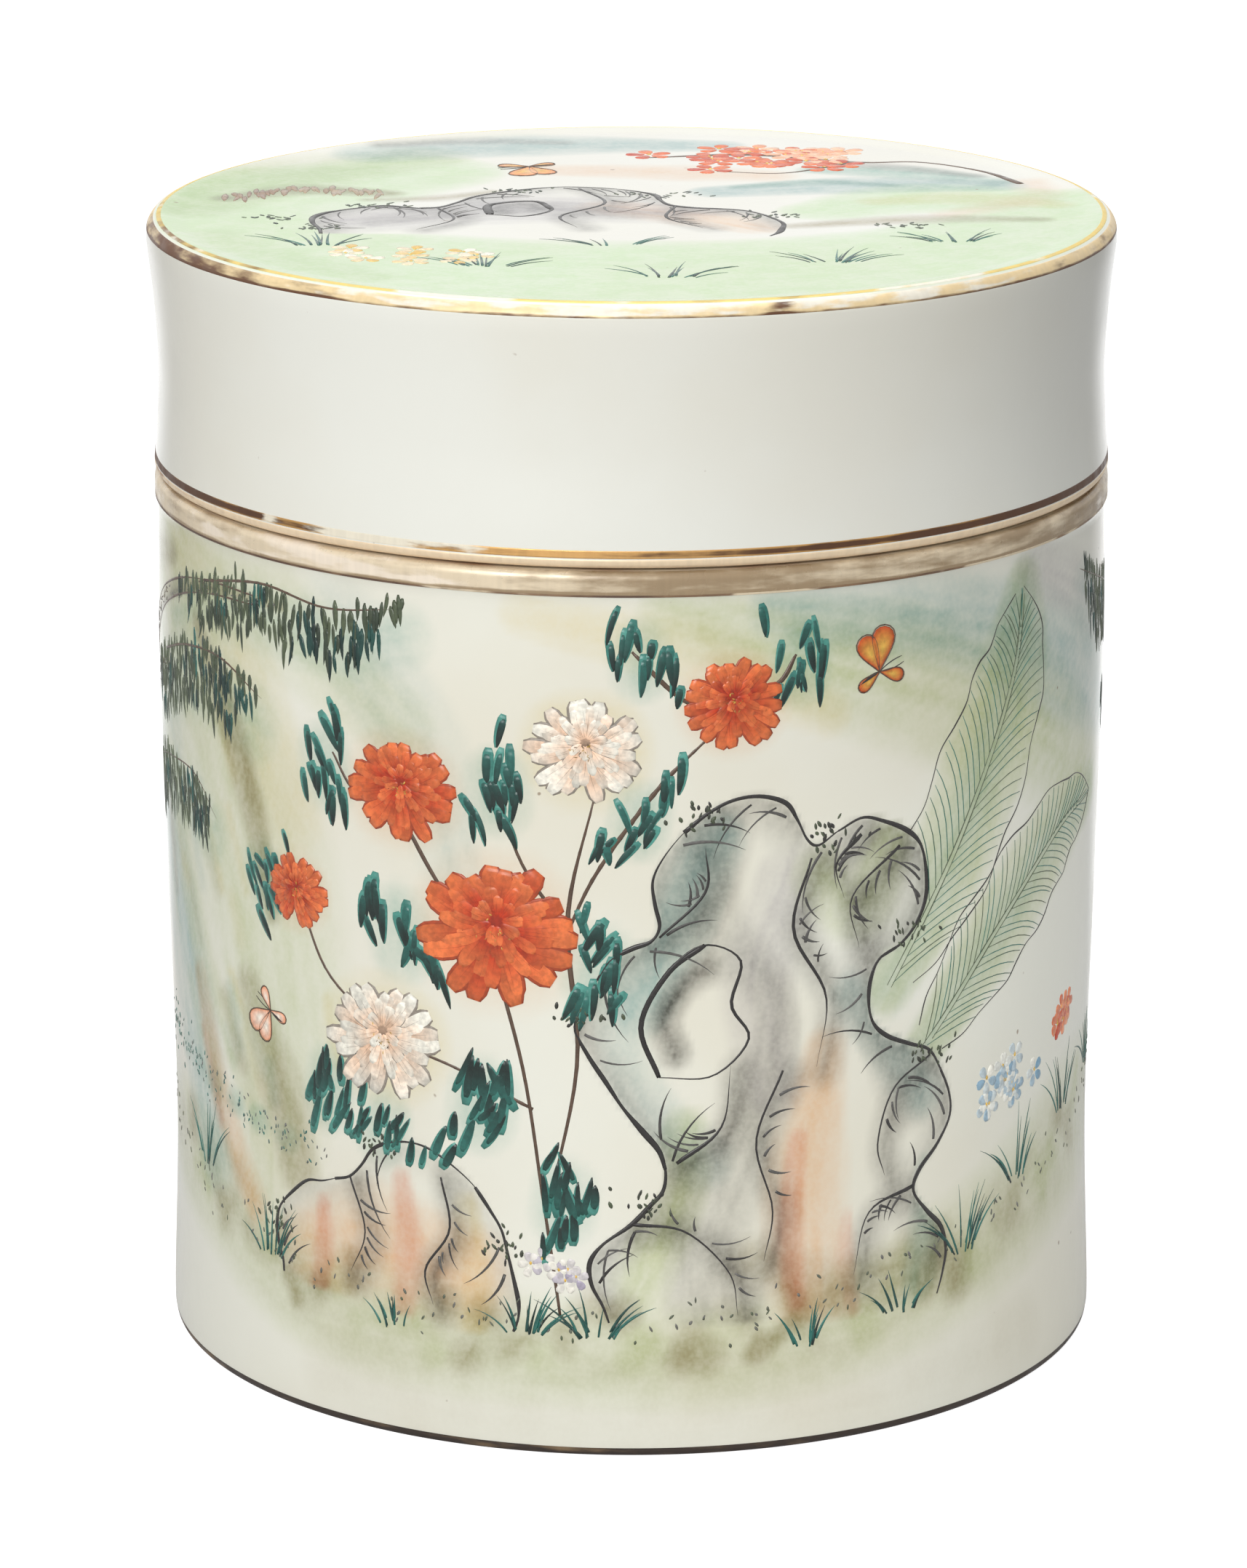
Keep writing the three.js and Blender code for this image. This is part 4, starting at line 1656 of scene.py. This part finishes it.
TALL_ROCK = Rock(
    outline=(
        (-2, 15), (-5, 22), (1, 28), (4, 34), (-1, 41), (-6, 49), (-3, 57), (3, 60), (2, 67), (8, 74),
        (16, 75), (20, 69), (27, 72), (34, 67), (34, 59), (28, 54), (29, 47), (36, 43), (39, 35), (34, 28),
        (39, 21), (37, 14),
    ),
    colours=(
        (Hue.SEA, [(9, 71), (5, 62), (1, 52)], [4, 5, 4], 1.0),
        (Hue.GREEN, [(30, 69), (26, 62), (21, 66)], [4, 5, 4], 0.9),
        (Hue.SEA, [(35, 39), (30, 46), (25, 52)], [4, 4, 3], 0.8),
        (Hue.LILAC, [(17, 66), (14, 54), (16, 42)], [4, 5, 4], 0.7),
        (Hue.PEACH, [(22, 46), (20, 32), (21, 17)], [3, 6, 6], 0.85),
        (Hue.RED, [(19, 36), (18, 26), (19, 17)], [1.4, 2.2, 1.6], 0.6),
        (Hue.RED, [(25, 26), (25, 20), (26, 15)], [1.0, 1.6, 1.2], 0.5),
        (Hue.GREEN, [(1, 20), (5, 30), (6, 38)], [4, 4, 3], 0.9),
        (Hue.TEAL, [(35, 17), (36, 24), (36, 30)], [3, 3, 2], 0.6),
        (Hue.INK, [(10, 72), (8, 62), (16, 52), (14, 40), (9, 28), (8, 18)], [4, 5, 3, 4, 6, 5], 0.5),
        (Hue.INK, [(31, 66), (27, 58), (29, 46), (33, 38)], [3, 4, 3, 4], 0.5),
        (Hue.EARTH, [(14, 22), (22, 18), (32, 18)], [4, 5, 4], 0.6),
        (Hue.SEA, [(-2, 50), (2, 40), (8, 34)], [3, 4, 4], 0.6),
    ),
    folds=(
        ((5, 34), (10, 38), (11, 45)), ((20, 68), (18, 60), (22, 52), (21, 44)),
        ((31, 68), (25, 63), (26, 57)), ((0, 27), (6, 26), (11, 21), (12, 16)),
        ((34, 28), (28, 26), (26, 19)), ((3, 60), (8, 65), (8, 70)),
        ((17, 44), (14, 36), (16, 28), (15, 22)), ((36, 43), (31, 40), (29, 34), (30, 30)),
        ((26, 70), (23, 67), (24, 63)),
    ),
    holes=(((3, 44), (1, 50), (4, 56), (8, 59), (12, 57), (11, 52), (13, 48), (9, 44)),),
    hatches=15,
)
BOULDER = Rock(
    outline=(
        (-44, 15), (-46, 21), (-41, 27), (-34, 29), (-29, 34), (-21, 33), (-15, 26), (-13, 18), (-14, 13),
    ),
    colours=(
        (Hue.PEACH, [(-40, 19), (-30, 22), (-19, 20)], [6, 8, 7], 0.95),
        (Hue.RED, [(-38, 25), (-38, 19), (-39, 14)], [1.4, 2.2, 1.6], 0.6),
        (Hue.RED, [(-27, 30), (-26, 22), (-27, 14)], [1.6, 2.4, 1.8], 0.6),
        (Hue.YELLOW, [(-19, 28), (-18, 20), (-18, 14)], [2, 3, 2], 0.6),
    ),
    folds=(((-34, 29), (-32, 23), (-34, 18)), ((-22, 31), (-21, 25), (-24, 20), (-23, 16))),
    hatches=3,
    shade=0.4,
)
PINE_FRINGES = (
    ([(-66, 92), (-56, 94), (-46, 95), (-34, 94), (-26, 96)], 3),
    ([(-78, 80), (-68, 84), (-58, 86), (-48, 84)], 4),
    ([(-84, 66), (-74, 70), (-64, 70), (-58, 68)], 3),
    ([(-112, 74), (-104, 80), (-94, 82), (-86, 80)], 4),
    ([(-126, 62), (-118, 66), (-110, 64)], 3),
    ([(66, 94), (76, 90), (86, 90), (96, 93)], 4),
    ([(78, 77), (88, 75), (98, 77)], 3),
    ([(104, 86), (114, 82), (126, 82), (138, 80)], 4),
)
PINE_TWIGS = (
    [(-72, 82), (-63, 84.5), (-54, 85), (-46, 82)],
    [(-94, 68), (-84, 67), (-72, 69.5), (-62, 70), (-56, 66)],
    [(-58, 93), (-46, 95), (-36, 94), (-27, 95)],
    [(-98, 62), (-106, 72), (-112, 73)],
    [(-106, 50), (-116, 62), (-126, 61)],
    [(88, 86), (80, 88), (70, 91), (64, 93)],
    [(104, 66), (108, 80), (116, 82), (128, 82), (137, 79)],
)


@dataclass
class GardenScene(Painter):
    """The painting round the jar's wall: a pierced rock, chrysanthemums, a pine's fringe and far hills."""

    tall_rock: Rock = TALL_ROCK
    boulder: Rock = BOULDER

    def paint(self) -> None:
        """Paints the whole scene."""
        once_round = FULL_TURN * self.canvas.radius
        self.washes.turns = (-once_round, 0.0, once_round)
        self.lay_distance()
        self.plantain([(30, 52), (40, 68), (48, 84), (50, 94)], 7.5, self.tall_rock.ring())
        self.plantain([(35, 44), (47, 56), (59, 64), (70, 66)], 6.5, self.tall_rock.ring())
        self.rock(self.tall_rock)
        self.rock(self.boulder)
        self.lay_bank()
        self.chrysanthemums()
        self.pine()
        self.ground()
        self.bamboo()
        self.butterfly((28, 88), 5.2, 20, YELLOW, IRON_RED)
        self.butterfly((-46, 46), 4.6, 150, PETAL_WHITE, ORANGE_PALE)
        self.butterfly((-152, 78), 5.0, 200, YELLOW, ORANGE_PALE)
        for twig in PINE_TWIGS:
            self.line(twig, 1.1, INK_BROWN, 0.5, Touch.TAIL, 0.07)

    def lay_bank(self) -> None:
        """Lays the bank that runs round the foot, with olive and brown patches drawn down it."""
        wash = self.washes
        front = [(-100, 30), (-64, 23), (-38, 14), (-8, 12), (18, 12), (44, 19), (68, 27), (96, 30)]
        bank = [*front, (122, 25), (150, 19), (178, 18), (206, 23), (240, 30)]
        wash.sweep(Hue.GREEN, bank, [9, 9, 8, 7, 7, 9, 11, 9, 9, 8, 8, 9, 9], 0.55, 2.5, 0.35)
        wash.sweep(Hue.EARTH, bank, [7, 7, 6, 5, 5, 7, 8, 7, 7, 6, 6, 7, 7], 0.25, 2.0, 0.8)
        # Partly painted shade: a faint earth wash darkens and warms the front of the wall just above the
        # foot.
        wash.sweep(Hue.EARTH, [(-36, 6), (0, 4), (52, 6)], [6, 8, 6], 0.16, 1.6, 0.3)
        for along in np.arange(-98.0, 240.0, 2.2):
            up = float(np.interp(along, *np.transpose(bank))) + self.hand.uniform(-2.5, 5)
            size = (self.hand.uniform(2.2, 4.4), self.hand.uniform(1.6, 3.4))
            pigment = Hue.EARTH if self.hand.random() < 0.7 else Hue.GREEN
            strength, turn = self.hand.uniform(0.2, 0.95), self.hand.uniform(30, 150)
            wash.dab(pigment, (along, up), size, strength, turn, 1.3)
        for along in range(-74, -40, 5):
            wash.dab(Hue.TEAL, self.moss_place(along), (2.6, 2.2), self.hand.uniform(0.3, 0.6))

    def moss_place(self, along: float) -> Place:
        """Returns the place of the far moss at a distance along the wall: it falls gently to the right."""
        return along, 31 + 0.16 * (-40 - along)

    def lay_distance(self) -> None:
        """Lays the far hills at both sides, in passes that lean with their slopes."""
        wash = self.washes
        for pigment, places, widths, strength in (
            (Hue.GREEN, [(-86, 98), (-66, 84), (-52, 68), (-46, 50), (-46, 30)],
             [16, 19, 17, 14, 9], 0.7),
            (Hue.GREEN, [(-66, 96), (-44, 92), (-26, 82)], [7, 8, 5], 0.55),
            (Hue.YELLOW, [(-66, 94), (-52, 84), (-42, 70)], [9, 10, 6], 0.4),
            (Hue.SEA, [(-92, 84), (-76, 62), (-66, 44), (-60, 26)], [8, 10, 9, 6], 1.0),
            (Hue.SEA, [(-34, 92), (-24, 80), (-20, 66)], [7, 7, 4], 0.4),
            (Hue.GREEN, [(-80, 80), (-68, 62), (-58, 44)], [4, 5, 3], 0.7),
            (Hue.EARTH, [(-60, 88), (-53, 79), (-48, 68), (-45, 57)], [1.6, 3.4, 3.2, 1.4], 1.0),
            (Hue.EARTH, [(-92, 88), (-80, 92), (-68, 94)], [3, 4, 2], 0.8),
            (Hue.EARTH, [(-80, 76), (-74, 66), (-71, 54)], [2.0, 3.0, 1.6], 0.8),
            (Hue.EARTH, [(-50, 48), (-45, 38), (-42, 28)], [3, 5, 4], 0.8),
            (Hue.PEACH, [(-62, 46), (-57, 32), (-50, 22)], [2.4, 3.6, 3], 1.0),
            (Hue.RED, [(-62, 40), (-58, 30)], [0.9, 1.4], 0.4),
            (Hue.GREEN, [(112, 96), (140, 88), (172, 92), (210, 84), (240, 92)], [5, 8, 6, 9, 5], 0.6),
            (Hue.SEA, [(160, 98), (190, 92), (222, 96)], [5, 7, 5], 0.7),
            (Hue.GREEN, [(4, 96), (28, 88), (50, 79), (70, 68)], [4, 9, 10, 6], 0.85),
            (Hue.SEA, [(16, 96), (42, 91), (62, 82), (78, 74)], [4, 7, 8, 5], 0.9),
            (Hue.LILAC, [(52, 96), (66, 90), (80, 82)], [4, 5, 4], 0.7),
            (Hue.YELLOW, [(-12, 96), (6, 92), (22, 84)], [3, 5, 3], 0.45),
        ):
            wash.sweep(pigment, places, widths, strength, 2.0, 0.65)
        mottle = (Hue.EARTH, Hue.GREEN, Hue.GREEN, Hue.SEA, Hue.YELLOW)
        for share in np.linspace(0, 1, 90):
            up = max(92 - 56 * share + self.hand.normal(0, 12), 36)
            place = (-88 + 46 * share + self.hand.normal(0, 7), up)
            size = (self.hand.uniform(2.5, 6.0), self.hand.uniform(1.0, 2.2))
            pigment, strength = mottle[self.hand.integers(5)], self.hand.uniform(0.1, 0.5)
            wash.dab(pigment, place, size, strength, -64 + self.hand.normal(0, 10), 1.4)

    def chrysanthemums(self) -> None:
        """Paints the bush behind the rock: stems, leaves, and blossoms in red and white."""
        for stem in (
            [(-8, 16), (-10, 30), (-12, 44), (-15, 56)], [(-11, 40), (-20, 44), (-28, 46)],
            [(-9, 30), (-6, 46), (-7, 62), (-4, 76)], [(-14, 56), (-21, 64), (-26, 72)],
            [(-8, 58), (-4, 67), (3, 77), (10, 84)], [(-27, 46), (-36, 52), (-40, 59)],
            [(-27, 73), (-32, 74), (-35, 78)], [(-8, 62), (-12, 68), (-15, 76)],
            [(9, 85), (5, 87), (0, 92)], [(12, 87), (16, 88), (18, 91)], [(-41, 61), (-45, 60)],
        ):
            self.line(stem, 0.9, INK_BROWN, 0.4, Touch.LINE, 0.025)
        big, middling, small = 1.155, 1.05, 0.945
        for places, count, heading, size in (
            (((-21, 52), (-26, 57), (-31, 60)), 20, 100, big),
            (((-6, 50), (-3, 54), (-5, 60)), 17, 75, middling),
            (((-18, 46), (-14, 42), (-20, 38)), 20, 260, big),
            (((-16, 70), (-13, 74), (-16, 78)), 17, 95, middling),
            (((-35, 44), (-38, 40), (-34, 37)), 17, 255, middling),
            (((-5, 68), (1, 70), (5, 75)), 17, 80, small),
            (((-9, 36), (-6, 32), (-9, 26)), 19, 265, middling),
            (((-34, 70), (-37, 74), (-33, 79)), 17, 100, middling),
            (((17, 84), (20, 88), (16, 92)), 13, 85, small),
            (((-44, 55), (-47, 59), (-44, 63)), 13, 110, small),
            (((4, 86), (2, 90), (-2, 92)), 13, 95, small),
            (((-27, 37), (-31, 39), (-25, 35)), 13, 250, small),
        ):
            self.foliage(places, count, heading, size)
        for place, radius in (((-15, 60), 9.0), ((-26, 75), 6.5), ((11, 86), 5.6), ((-41, 61), 4.6)):
            self.chrysanthemum(place, radius, IRON_RED, IRON_ORANGE, IRON_DEEP)
        for place, radius in (((-29, 46), 7.4), ((-5, 81), 6.4)):
            self.chrysanthemum(place, radius, PETAL_PEACH, PETAL_WHITE, INK_BROWN, Hue.YELLOW)

    def trunk(self, places: Places, widths: list[float]) -> None:
        """Paints a trunk or a bough: a brown wash between two ink edges, with strokes of bark.

        Args:
            places: the places that its middle runs through, from the foot.
            widths: its full width at each place.
        """
        steps = 8 * len(places)
        middle, wide = curve_through(places, steps), evened(widths, steps)
        run, left = np.gradient(middle, axis=0), left_of(directions(middle)) * wide[:, None]
        self.washes.sweep(Hue.EARTH, places, [0.56 * width for width in widths], 1.0, 5.0)
        self.washes.sweep(Hue.INK, (middle - 0.3 * left)[::8], [0.3 * width for width in widths], 0.7)
        for side in (-0.5, 0.5):
            self.line((middle + side * left)[::4], 0.5, INK_BROWN, 0.6)
        count = 2 * steps
        at = self.hand.integers(0, steps - 1, count)
        starts = middle[at] + run[at] * self.hand.random((count, 1))
        starts += left[at] * self.hand.uniform(-0.42, 0.36, (count, 1))
        headings = np.degrees(np.arctan2(run[at, 1], run[at, 0])) + self.hand.normal(0, 24, count)
        lengths, bends = wide[at] * self.hand.uniform(0.2, 0.5, count), self.hand.choice([-50, 80], count)
        tints = between(INK_BROWN, INK_GREY, self.hand.random(count))
        self.ink.touch(Touch.TAIL, bent_paths(starts, headings, lengths, bends, 6), 0.3, tints)

    def pine(self) -> None:
        """Paints a pine at each side, with needles that hang from its boughs in fringes."""
        self.trunk([(-112, 24), (-108, 44), (-100, 60), (-86, 74), (-70, 81)], [6.5, 5, 4, 3, 1.4])
        self.trunk([(-88, 73), (-76, 86), (-60, 92), (-42, 93)], [2.6, 2.2, 1.6, 0.8])
        self.trunk([(112, 24), (106, 42), (110, 58), (100, 74), (88, 86), (74, 91)], [6, 4.6, 4, 3.2, 2.2, 1])
        self.trunk([(108, 62), (120, 72), (132, 76)], [2.4, 1.8, 0.8])
        self.line([(102, 72), (92, 73), (82, 76)], 1.2, INK_BROWN, 0.5)
        for places, rows in PINE_FRINGES:
            self.fringe(places, rows)

    def bamboo(self) -> None:
        """Paints bamboo at the back, where the bank runs out: jointed canes with hanging leaves."""
        canes = (((140, 22), 3.0, 2.3, 7), ((152, 20), -1.5, 1.7, 6), ((131, 26), -3.5, 1.3, 4))
        for foot, lean, width, joints in canes:
            for joint in range(joints):
                low = (foot[0] + lean * joint, foot[1] + 10.5 * joint)
                high = (low[0] + 0.94 * lean, low[1] + 9.9)
                self.line([low, high], width, LEAF_OLIVE, 0.1)
                if joint > 1:
                    side = 1 if joint % 2 else -1
                    twig = (high[0] + 7 * side, high[1] + 3)
                    self.line([high, twig], 0.5, LEAF_DARK, 0.3)
                    self.bamboo_leaves(twig, -90 + 24 * side)
        for along, up, count, length in (
            (142, 19, 11, 7), (128, 24, 11, 7), (154, 17, 11, 7), (196, 20, 18, 19), (203, 22, 16, 24),
            (186, 18, 10, 8), (-126, 27, 12, 9), (-108, 28, 12, 7), (104, 28, 12, 7), (90, 29, 10, 6),
        ):
            self.grass((along, up), 3, count, length)
        self.asters((200, 40), (8, 6), 11, 2.2, (LILAC, PETAL_WHITE))
        self.asters((-124, 36), (6, 4), 11, 1.9, (IRON_ORANGE, PETAL_WHITE))

    def ground(self) -> None:
        """Paints grass, moss and small flowers along the bank."""
        for along, up, count, length in (
            (-47, 17, 12, 8), (-12, 14, 12, 6), (-4, 14, 12, 7), (42, 19, 14, 8), (52, 25, 12, 9),
            (64, 30, 12, 8), (-62, 24, 12, 8), (76, 32, 10, 7), (20, 12, 9, 5), (-28, 13, 10, 4),
            (32, 14, 9, 5),
        ):
            self.grass((along, up), 2.2, count, length)
        for rock, places in ((self.tall_rock, [18, 44, 74, 95, 118, 142]), (self.boulder, [10, 34, 56])):
            for place in rock.ring()[places]:
                self.dots(place, (3.2, 1.8), 22, 0.62, INK, LEAF_OLIVE)
        for along in range(-98, 240, 6):
            front, back = 15 + 0.0022 * (along + 8) ** 2, 24 + 6 * math.cos(0.045 * (along - 96))
            self.dots((along, front if along < 90 else back), (4.5, 2.4), 7, 0.5, INK_GREY, LEAF_OLIVE)
        for along in range(-76, -38, 4):
            self.dots(self.moss_place(along), (3.5, 2.6), 16, 0.42, INK_GREY, LEAF_TEAL)
        self.asters((50, 36), (6, 4), 13, 1.7, (SKY_BLUE, PETAL_WHITE))
        self.asters((-7, 21), (5, 2), 6, 1.4, (LILAC, PETAL_WHITE))
        self.asters((63, 41), (4, 3), 7, 1.6, (IRON_RED, ORANGE_PALE))


LOW_ROCK = Rock(
    outline=(
        (-34, -14), (-36, -4), (-29, 3), (-22, 2), (-16, 11), (-6, 15), (2, 11), (5, 3), (13, 0), (17, -8),
        (15, -15),
    ),
    colours=(
        (Hue.LILAC, [(-32, -6), (-16, 2), (4, 0)], [8, 11, 8], 1.0),
        (Hue.INK, [(-28, -6), (-14, 2), (0, -2)], [4, 6, 4], 0.5),
        (Hue.PEACH, [(-2, 2), (8, -4), (14, -10)], [5, 6, 4], 0.9),
    ),
    folds=(
        ((-22, 2), (-20, -5), (-24, -11)), ((-6, 14), (-3, 5), (-8, -3), (-6, -10)),
        ((5, 3), (4, -4), (8, -10)),
    ),
    holes=(((-16, -2), (-16, 4), (-11, 6), (-9, 1), (-12, -3)),),
    width=1.5,
    hatches=12,
    shade=0.9,
)


@dataclass
class MeadowScene(Painter):
    """The painting on the lid's top: a green bank, a rock, water, hills and a branch in blossom.

    Its colour reaches out to the gilding, at the radius named reach.
    """

    reach: float = 53.7

    def paint(self) -> None:
        """Paints the whole scene."""
        border = self.reach * circle(120)
        for pigment, places, widths, strength, edge in (
            (Hue.MINT, [(-48, -12), (-30, -32), (0, -40), (30, -32), (48, -10)],
             [16, 21, 23, 21, 14], 1.0, 9.0),
            (Hue.MINT, [(-50, 0), (-40, 12), (-26, 24)], [14, 16, 12], 1.0, 5.0),
            (Hue.GREEN, [(-50, 2), (-42, 20), (-26, 34)], [7, 11, 8], 0.75, 2.5),
            (Hue.GREEN, [(-46, -14), (-40, -26), (-28, -38)], [4, 6, 4], 0.35, 2.0),
            (Hue.MINT, [(22, 0), (34, 8), (50, 6)], [6, 10, 7], 1.0, 4.0),
            (Hue.YELLOW, [(28, 6), (38, 8), (48, 4)], [3, 5, 3], 0.6, 2.0),
            (Hue.EARTH, [(18, -9), (32, -5), (46, -5)], [2, 3.4, 2], 0.9, 1.5),
            (Hue.SEA, [(10, 12), (26, 16), (42, 16)], [4, 6, 4], 1.0, 3.0),
            (Hue.TEAL, [(12, 15), (22, 18), (30, 16)], [1.5, 2.6, 1.5], 0.8, 1.5),
            (Hue.SEA, [(-30, 36), (-12, 42), (10, 42)], [6, 8, 4], 1.0, 2.5),
            (Hue.INK, [(-30, 42), (-18, 45), (-8, 44)], [2, 3, 2], 0.6, 1.2),
            (Hue.TEAL, [(22, 26), (32, 24), (42, 18)], [3, 5, 3], 0.8, 2.5),
            (Hue.INK, [(20, 32), (30, 28), (40, 22)], [2, 3, 2], 0.6, 1.5),
            (Hue.PEACH, [(-10, 26), (6, 24), (16, 22)], [4, 6, 4], 0.7, 2.0),
            (Hue.PEACH, [(36, -2), (46, 8), (46, 18)], [3, 4, 3], 0.5, 1.5),
            (Hue.EARTH, [(-46, 8), (-38, 13), (-28, 11)], [2.6, 4.4, 2.6], 1.0, 1.5),
            (Hue.EARTH, [(-30, 7), (-22, 8), (-16, 12)], [1.6, 2.6, 1.6], 0.8, 1.2),
        ):
            self.washes.sweep(pigment, places, widths, strength, edge, 0.22, border)
        self.fringe([(-46, 10), (-38, 15), (-29, 13)], 1, 4.6, EARTH_SHADES)
        self.rock(LOW_ROCK)
        self.line([(45, 17), (41, 25), (34, 31), (26, 31), (14, 36), (2, 34)], 2.2, INK_BROWN, 0.6)
        self.line([(26, 31), (18, 24), (10, 25)], 1.3, INK_BROWN, 0.5)
        self.asters((12, 33), (12, 7), 16, 2.6, (IRON_RED, IRON_ORANGE))
        self.asters((22, 36), (7, 5), 9, 2.6, (PETAL_PEACH, ORANGE_PALE))
        for x, y, count, length in (
            (-34, -20, 12, 9), (-16, -32, 14, 9), (4, -38, 12, 9), (22, -30, 14, 9), (36, -18, 12, 8),
            (-2, -20, 9, 7),
        ):
            self.grass((x, y), 3, count, length)
        for place in ((-30, 3), (-14, 12), (4, 10), (16, -3), (-35, -10), (30, -9), (-40, -4)):
            self.dots(place, (5, 2.0), 20, 0.8, LEAF_DARK, LEAF_OLIVE)
        self.asters((-26, -25), (9, 6), 9, 2.0, (PETAL_WHITE, YELLOW))
        self.butterfly((-12, 28), 6, 200, YELLOW, ORANGE_PALE)


@dataclass(frozen=True)
class Lamp:
    """A square lamp that points at the jar: its place and side in metres, and its power in watts."""

    name: str
    place: Trio
    size: float
    power: float


@dataclass(frozen=True)
class Studio:
    """The photographer's table: a pale floor, soft lamps, and the camera at the photograph's angle.

    Lengths are in metres. The floor is mirrored brighter where it lies behind the jar: its level goes from
    the first to the second as the share of Y in its distance goes through the span. The beam is weak and
    stops under the lid, as light thrown back off the table does.
    """

    distance: float = 0.7456
    height: float = 0.2698
    aside: float = -0.0009
    pitch: float = 0.2714
    lens: float = 153.4
    ambient: float = 0.235
    floor_side: float = 6.0
    floor_grey: float = 0.62
    floor_roughness: float = 0.9
    floor_shine: float = 0.1
    floor_glow: float = 0.9
    floor_mirrored: Place = (0.12, 0.8)
    floor_behind: Place = (0.76, 0.94)
    lamp_aim: float = 0.065
    lamps: tuple[Lamp, ...] = (
        Lamp("key_lamp", (-0.400, -1.042, 0.62), 0.7, 10.0),
        Lamp("top_lamp", (0.0, 0.05, 0.7), 0.5, 2.6),
    )
    beam_place: Trio = (0.5, -0.33, 0.07)
    beam_aim: float = 0.018
    beam_power: float = 2.5
    beam_colour: Rgb = (0.92, 0.96, 1.0)
    beam_degrees: float = 16.5
    beam_blend: float = 0.35
    beam_radius: float = 0.03

    def camera(self) -> None:
        """Places the camera in front of the jar, looking down on it."""
        data = bpy.data.cameras.new("camera")
        data.lens = self.lens
        camera = bpy.data.objects.new("camera", data)
        camera.location = (self.aside, -self.distance, self.height)
        camera.rotation_euler = (math.pi / 2 - self.pitch, 0, 0)
        bpy.context.scene.collection.objects.link(camera)
        bpy.context.scene.camera = camera

    def floor(self) -> None:
        """Lays a pale floor that keeps the jar's shadow and is white where the camera sees it lit."""
        coat = Coat("pale_floor")
        placed = coat.add("SeparateXYZ", {"Vector": coat.objects}).outputs["Y"]
        away = coat.add("VectorMath", {"Vector": coat.objects}, operation="LENGTH").outputs["Value"]
        behind = coat.ramp(coat.math("DIVIDE", placed, away), self.floor_behind, self.floor_mirrored)
        material = coat.dress({
            "Base Color": (*(self.floor_grey,) * 3, 1),
            "Roughness": self.floor_roughness,
            "Specular IOR Level": self.floor_shine,
            "Emission Color": WHITE,
            "Emission Strength": coat.ray_level(0.0, behind, self.floor_glow),
        })
        corners = np.array([(-1, -1, 0), (1, -1, 0), (1, 1, 0), (-1, 1, 0)]) * self.floor_side / MM
        floor = put_in_scene("floor", corners, [(0, 1, 2, 3)], material)

    def world(self) -> None:
        """Fills the studio with soft light, and shows white to the camera and in reflections."""
        world = bpy.data.worlds.new("studio")
        world.use_nodes = True
        bpy.context.scene.world = world
        nodes = Nodes(world.node_tree)
        background = nodes.tree.nodes["Background"].inputs
        background["Color"].default_value = WHITE
        nodes.join(nodes.ray_level(self.ambient, 1.0, 1.0), background["Strength"])

    def hang(self, data: bpy.types.Light, place: Trio, aim: float) -> bpy.types.Object:
        """Hangs a light in the studio.

        Args:
            data, place: the light, and where it hangs.
            aim: the height on the jar's axis that it points at.

        Returns:
            The light's object.
        """
        lamp = bpy.data.objects.new(data.name, data)
        lamp.location = place
        lamp.rotation_euler = (Vector((0, 0, aim)) - lamp.location).to_track_quat("-Z", "Y").to_euler()
        bpy.context.scene.collection.objects.link(lamp)
        return lamp

    def light(self) -> None:
        """Hangs the lamps and the beam."""
        for lamp in self.lamps:
            data = bpy.data.lights.new(lamp.name, "AREA")
            data.size, data.energy = lamp.size, lamp.power
            self.hang(data, lamp.place, self.lamp_aim)
        data = bpy.data.lights.new("low_beam", "SPOT")
        data.energy, data.color = self.beam_power, self.beam_colour
        data.spot_size, data.spot_blend = math.radians(self.beam_degrees), self.beam_blend
        data.shadow_soft_size = self.beam_radius
        self.hang(data, self.beam_place, self.beam_aim).visible_glossy = False

    def build(self) -> None:
        """Sets up the whole studio."""
        bpy.context.scene.view_settings.view_transform = "Standard"
        self.camera()
        self.floor()
        self.world()
        self.light()


def main() -> None:
    """Builds the studio and every piece of the jar, in order."""
    logging.basicConfig(level=logging.INFO, format="%(name)s: %(message)s")
    Studio().build()
    jar, lid = JarForm(), LidForm()
    garden, meadow = GardenScene(jar.canvas(), 7), MeadowScene(lid.canvas(), 19)
    garden.paint()
    meadow.paint()
    jar.build(GlazeFinish("jar_glaze", linear(235, 234, 221), linear(230, 226, 209)), garden.washes)
    lid.build(GlazeFinish("lid_glaze", linear(235, 235, 226), linear(232, 230, 218)), meadow.washes)
    garden.build("wall", Body.JAR)
    meadow.build("top", Body.LID)
    for line in (*jar.gilding(), *lid.gilding()):
        line.build()


if __name__ == "__main__":
    main()
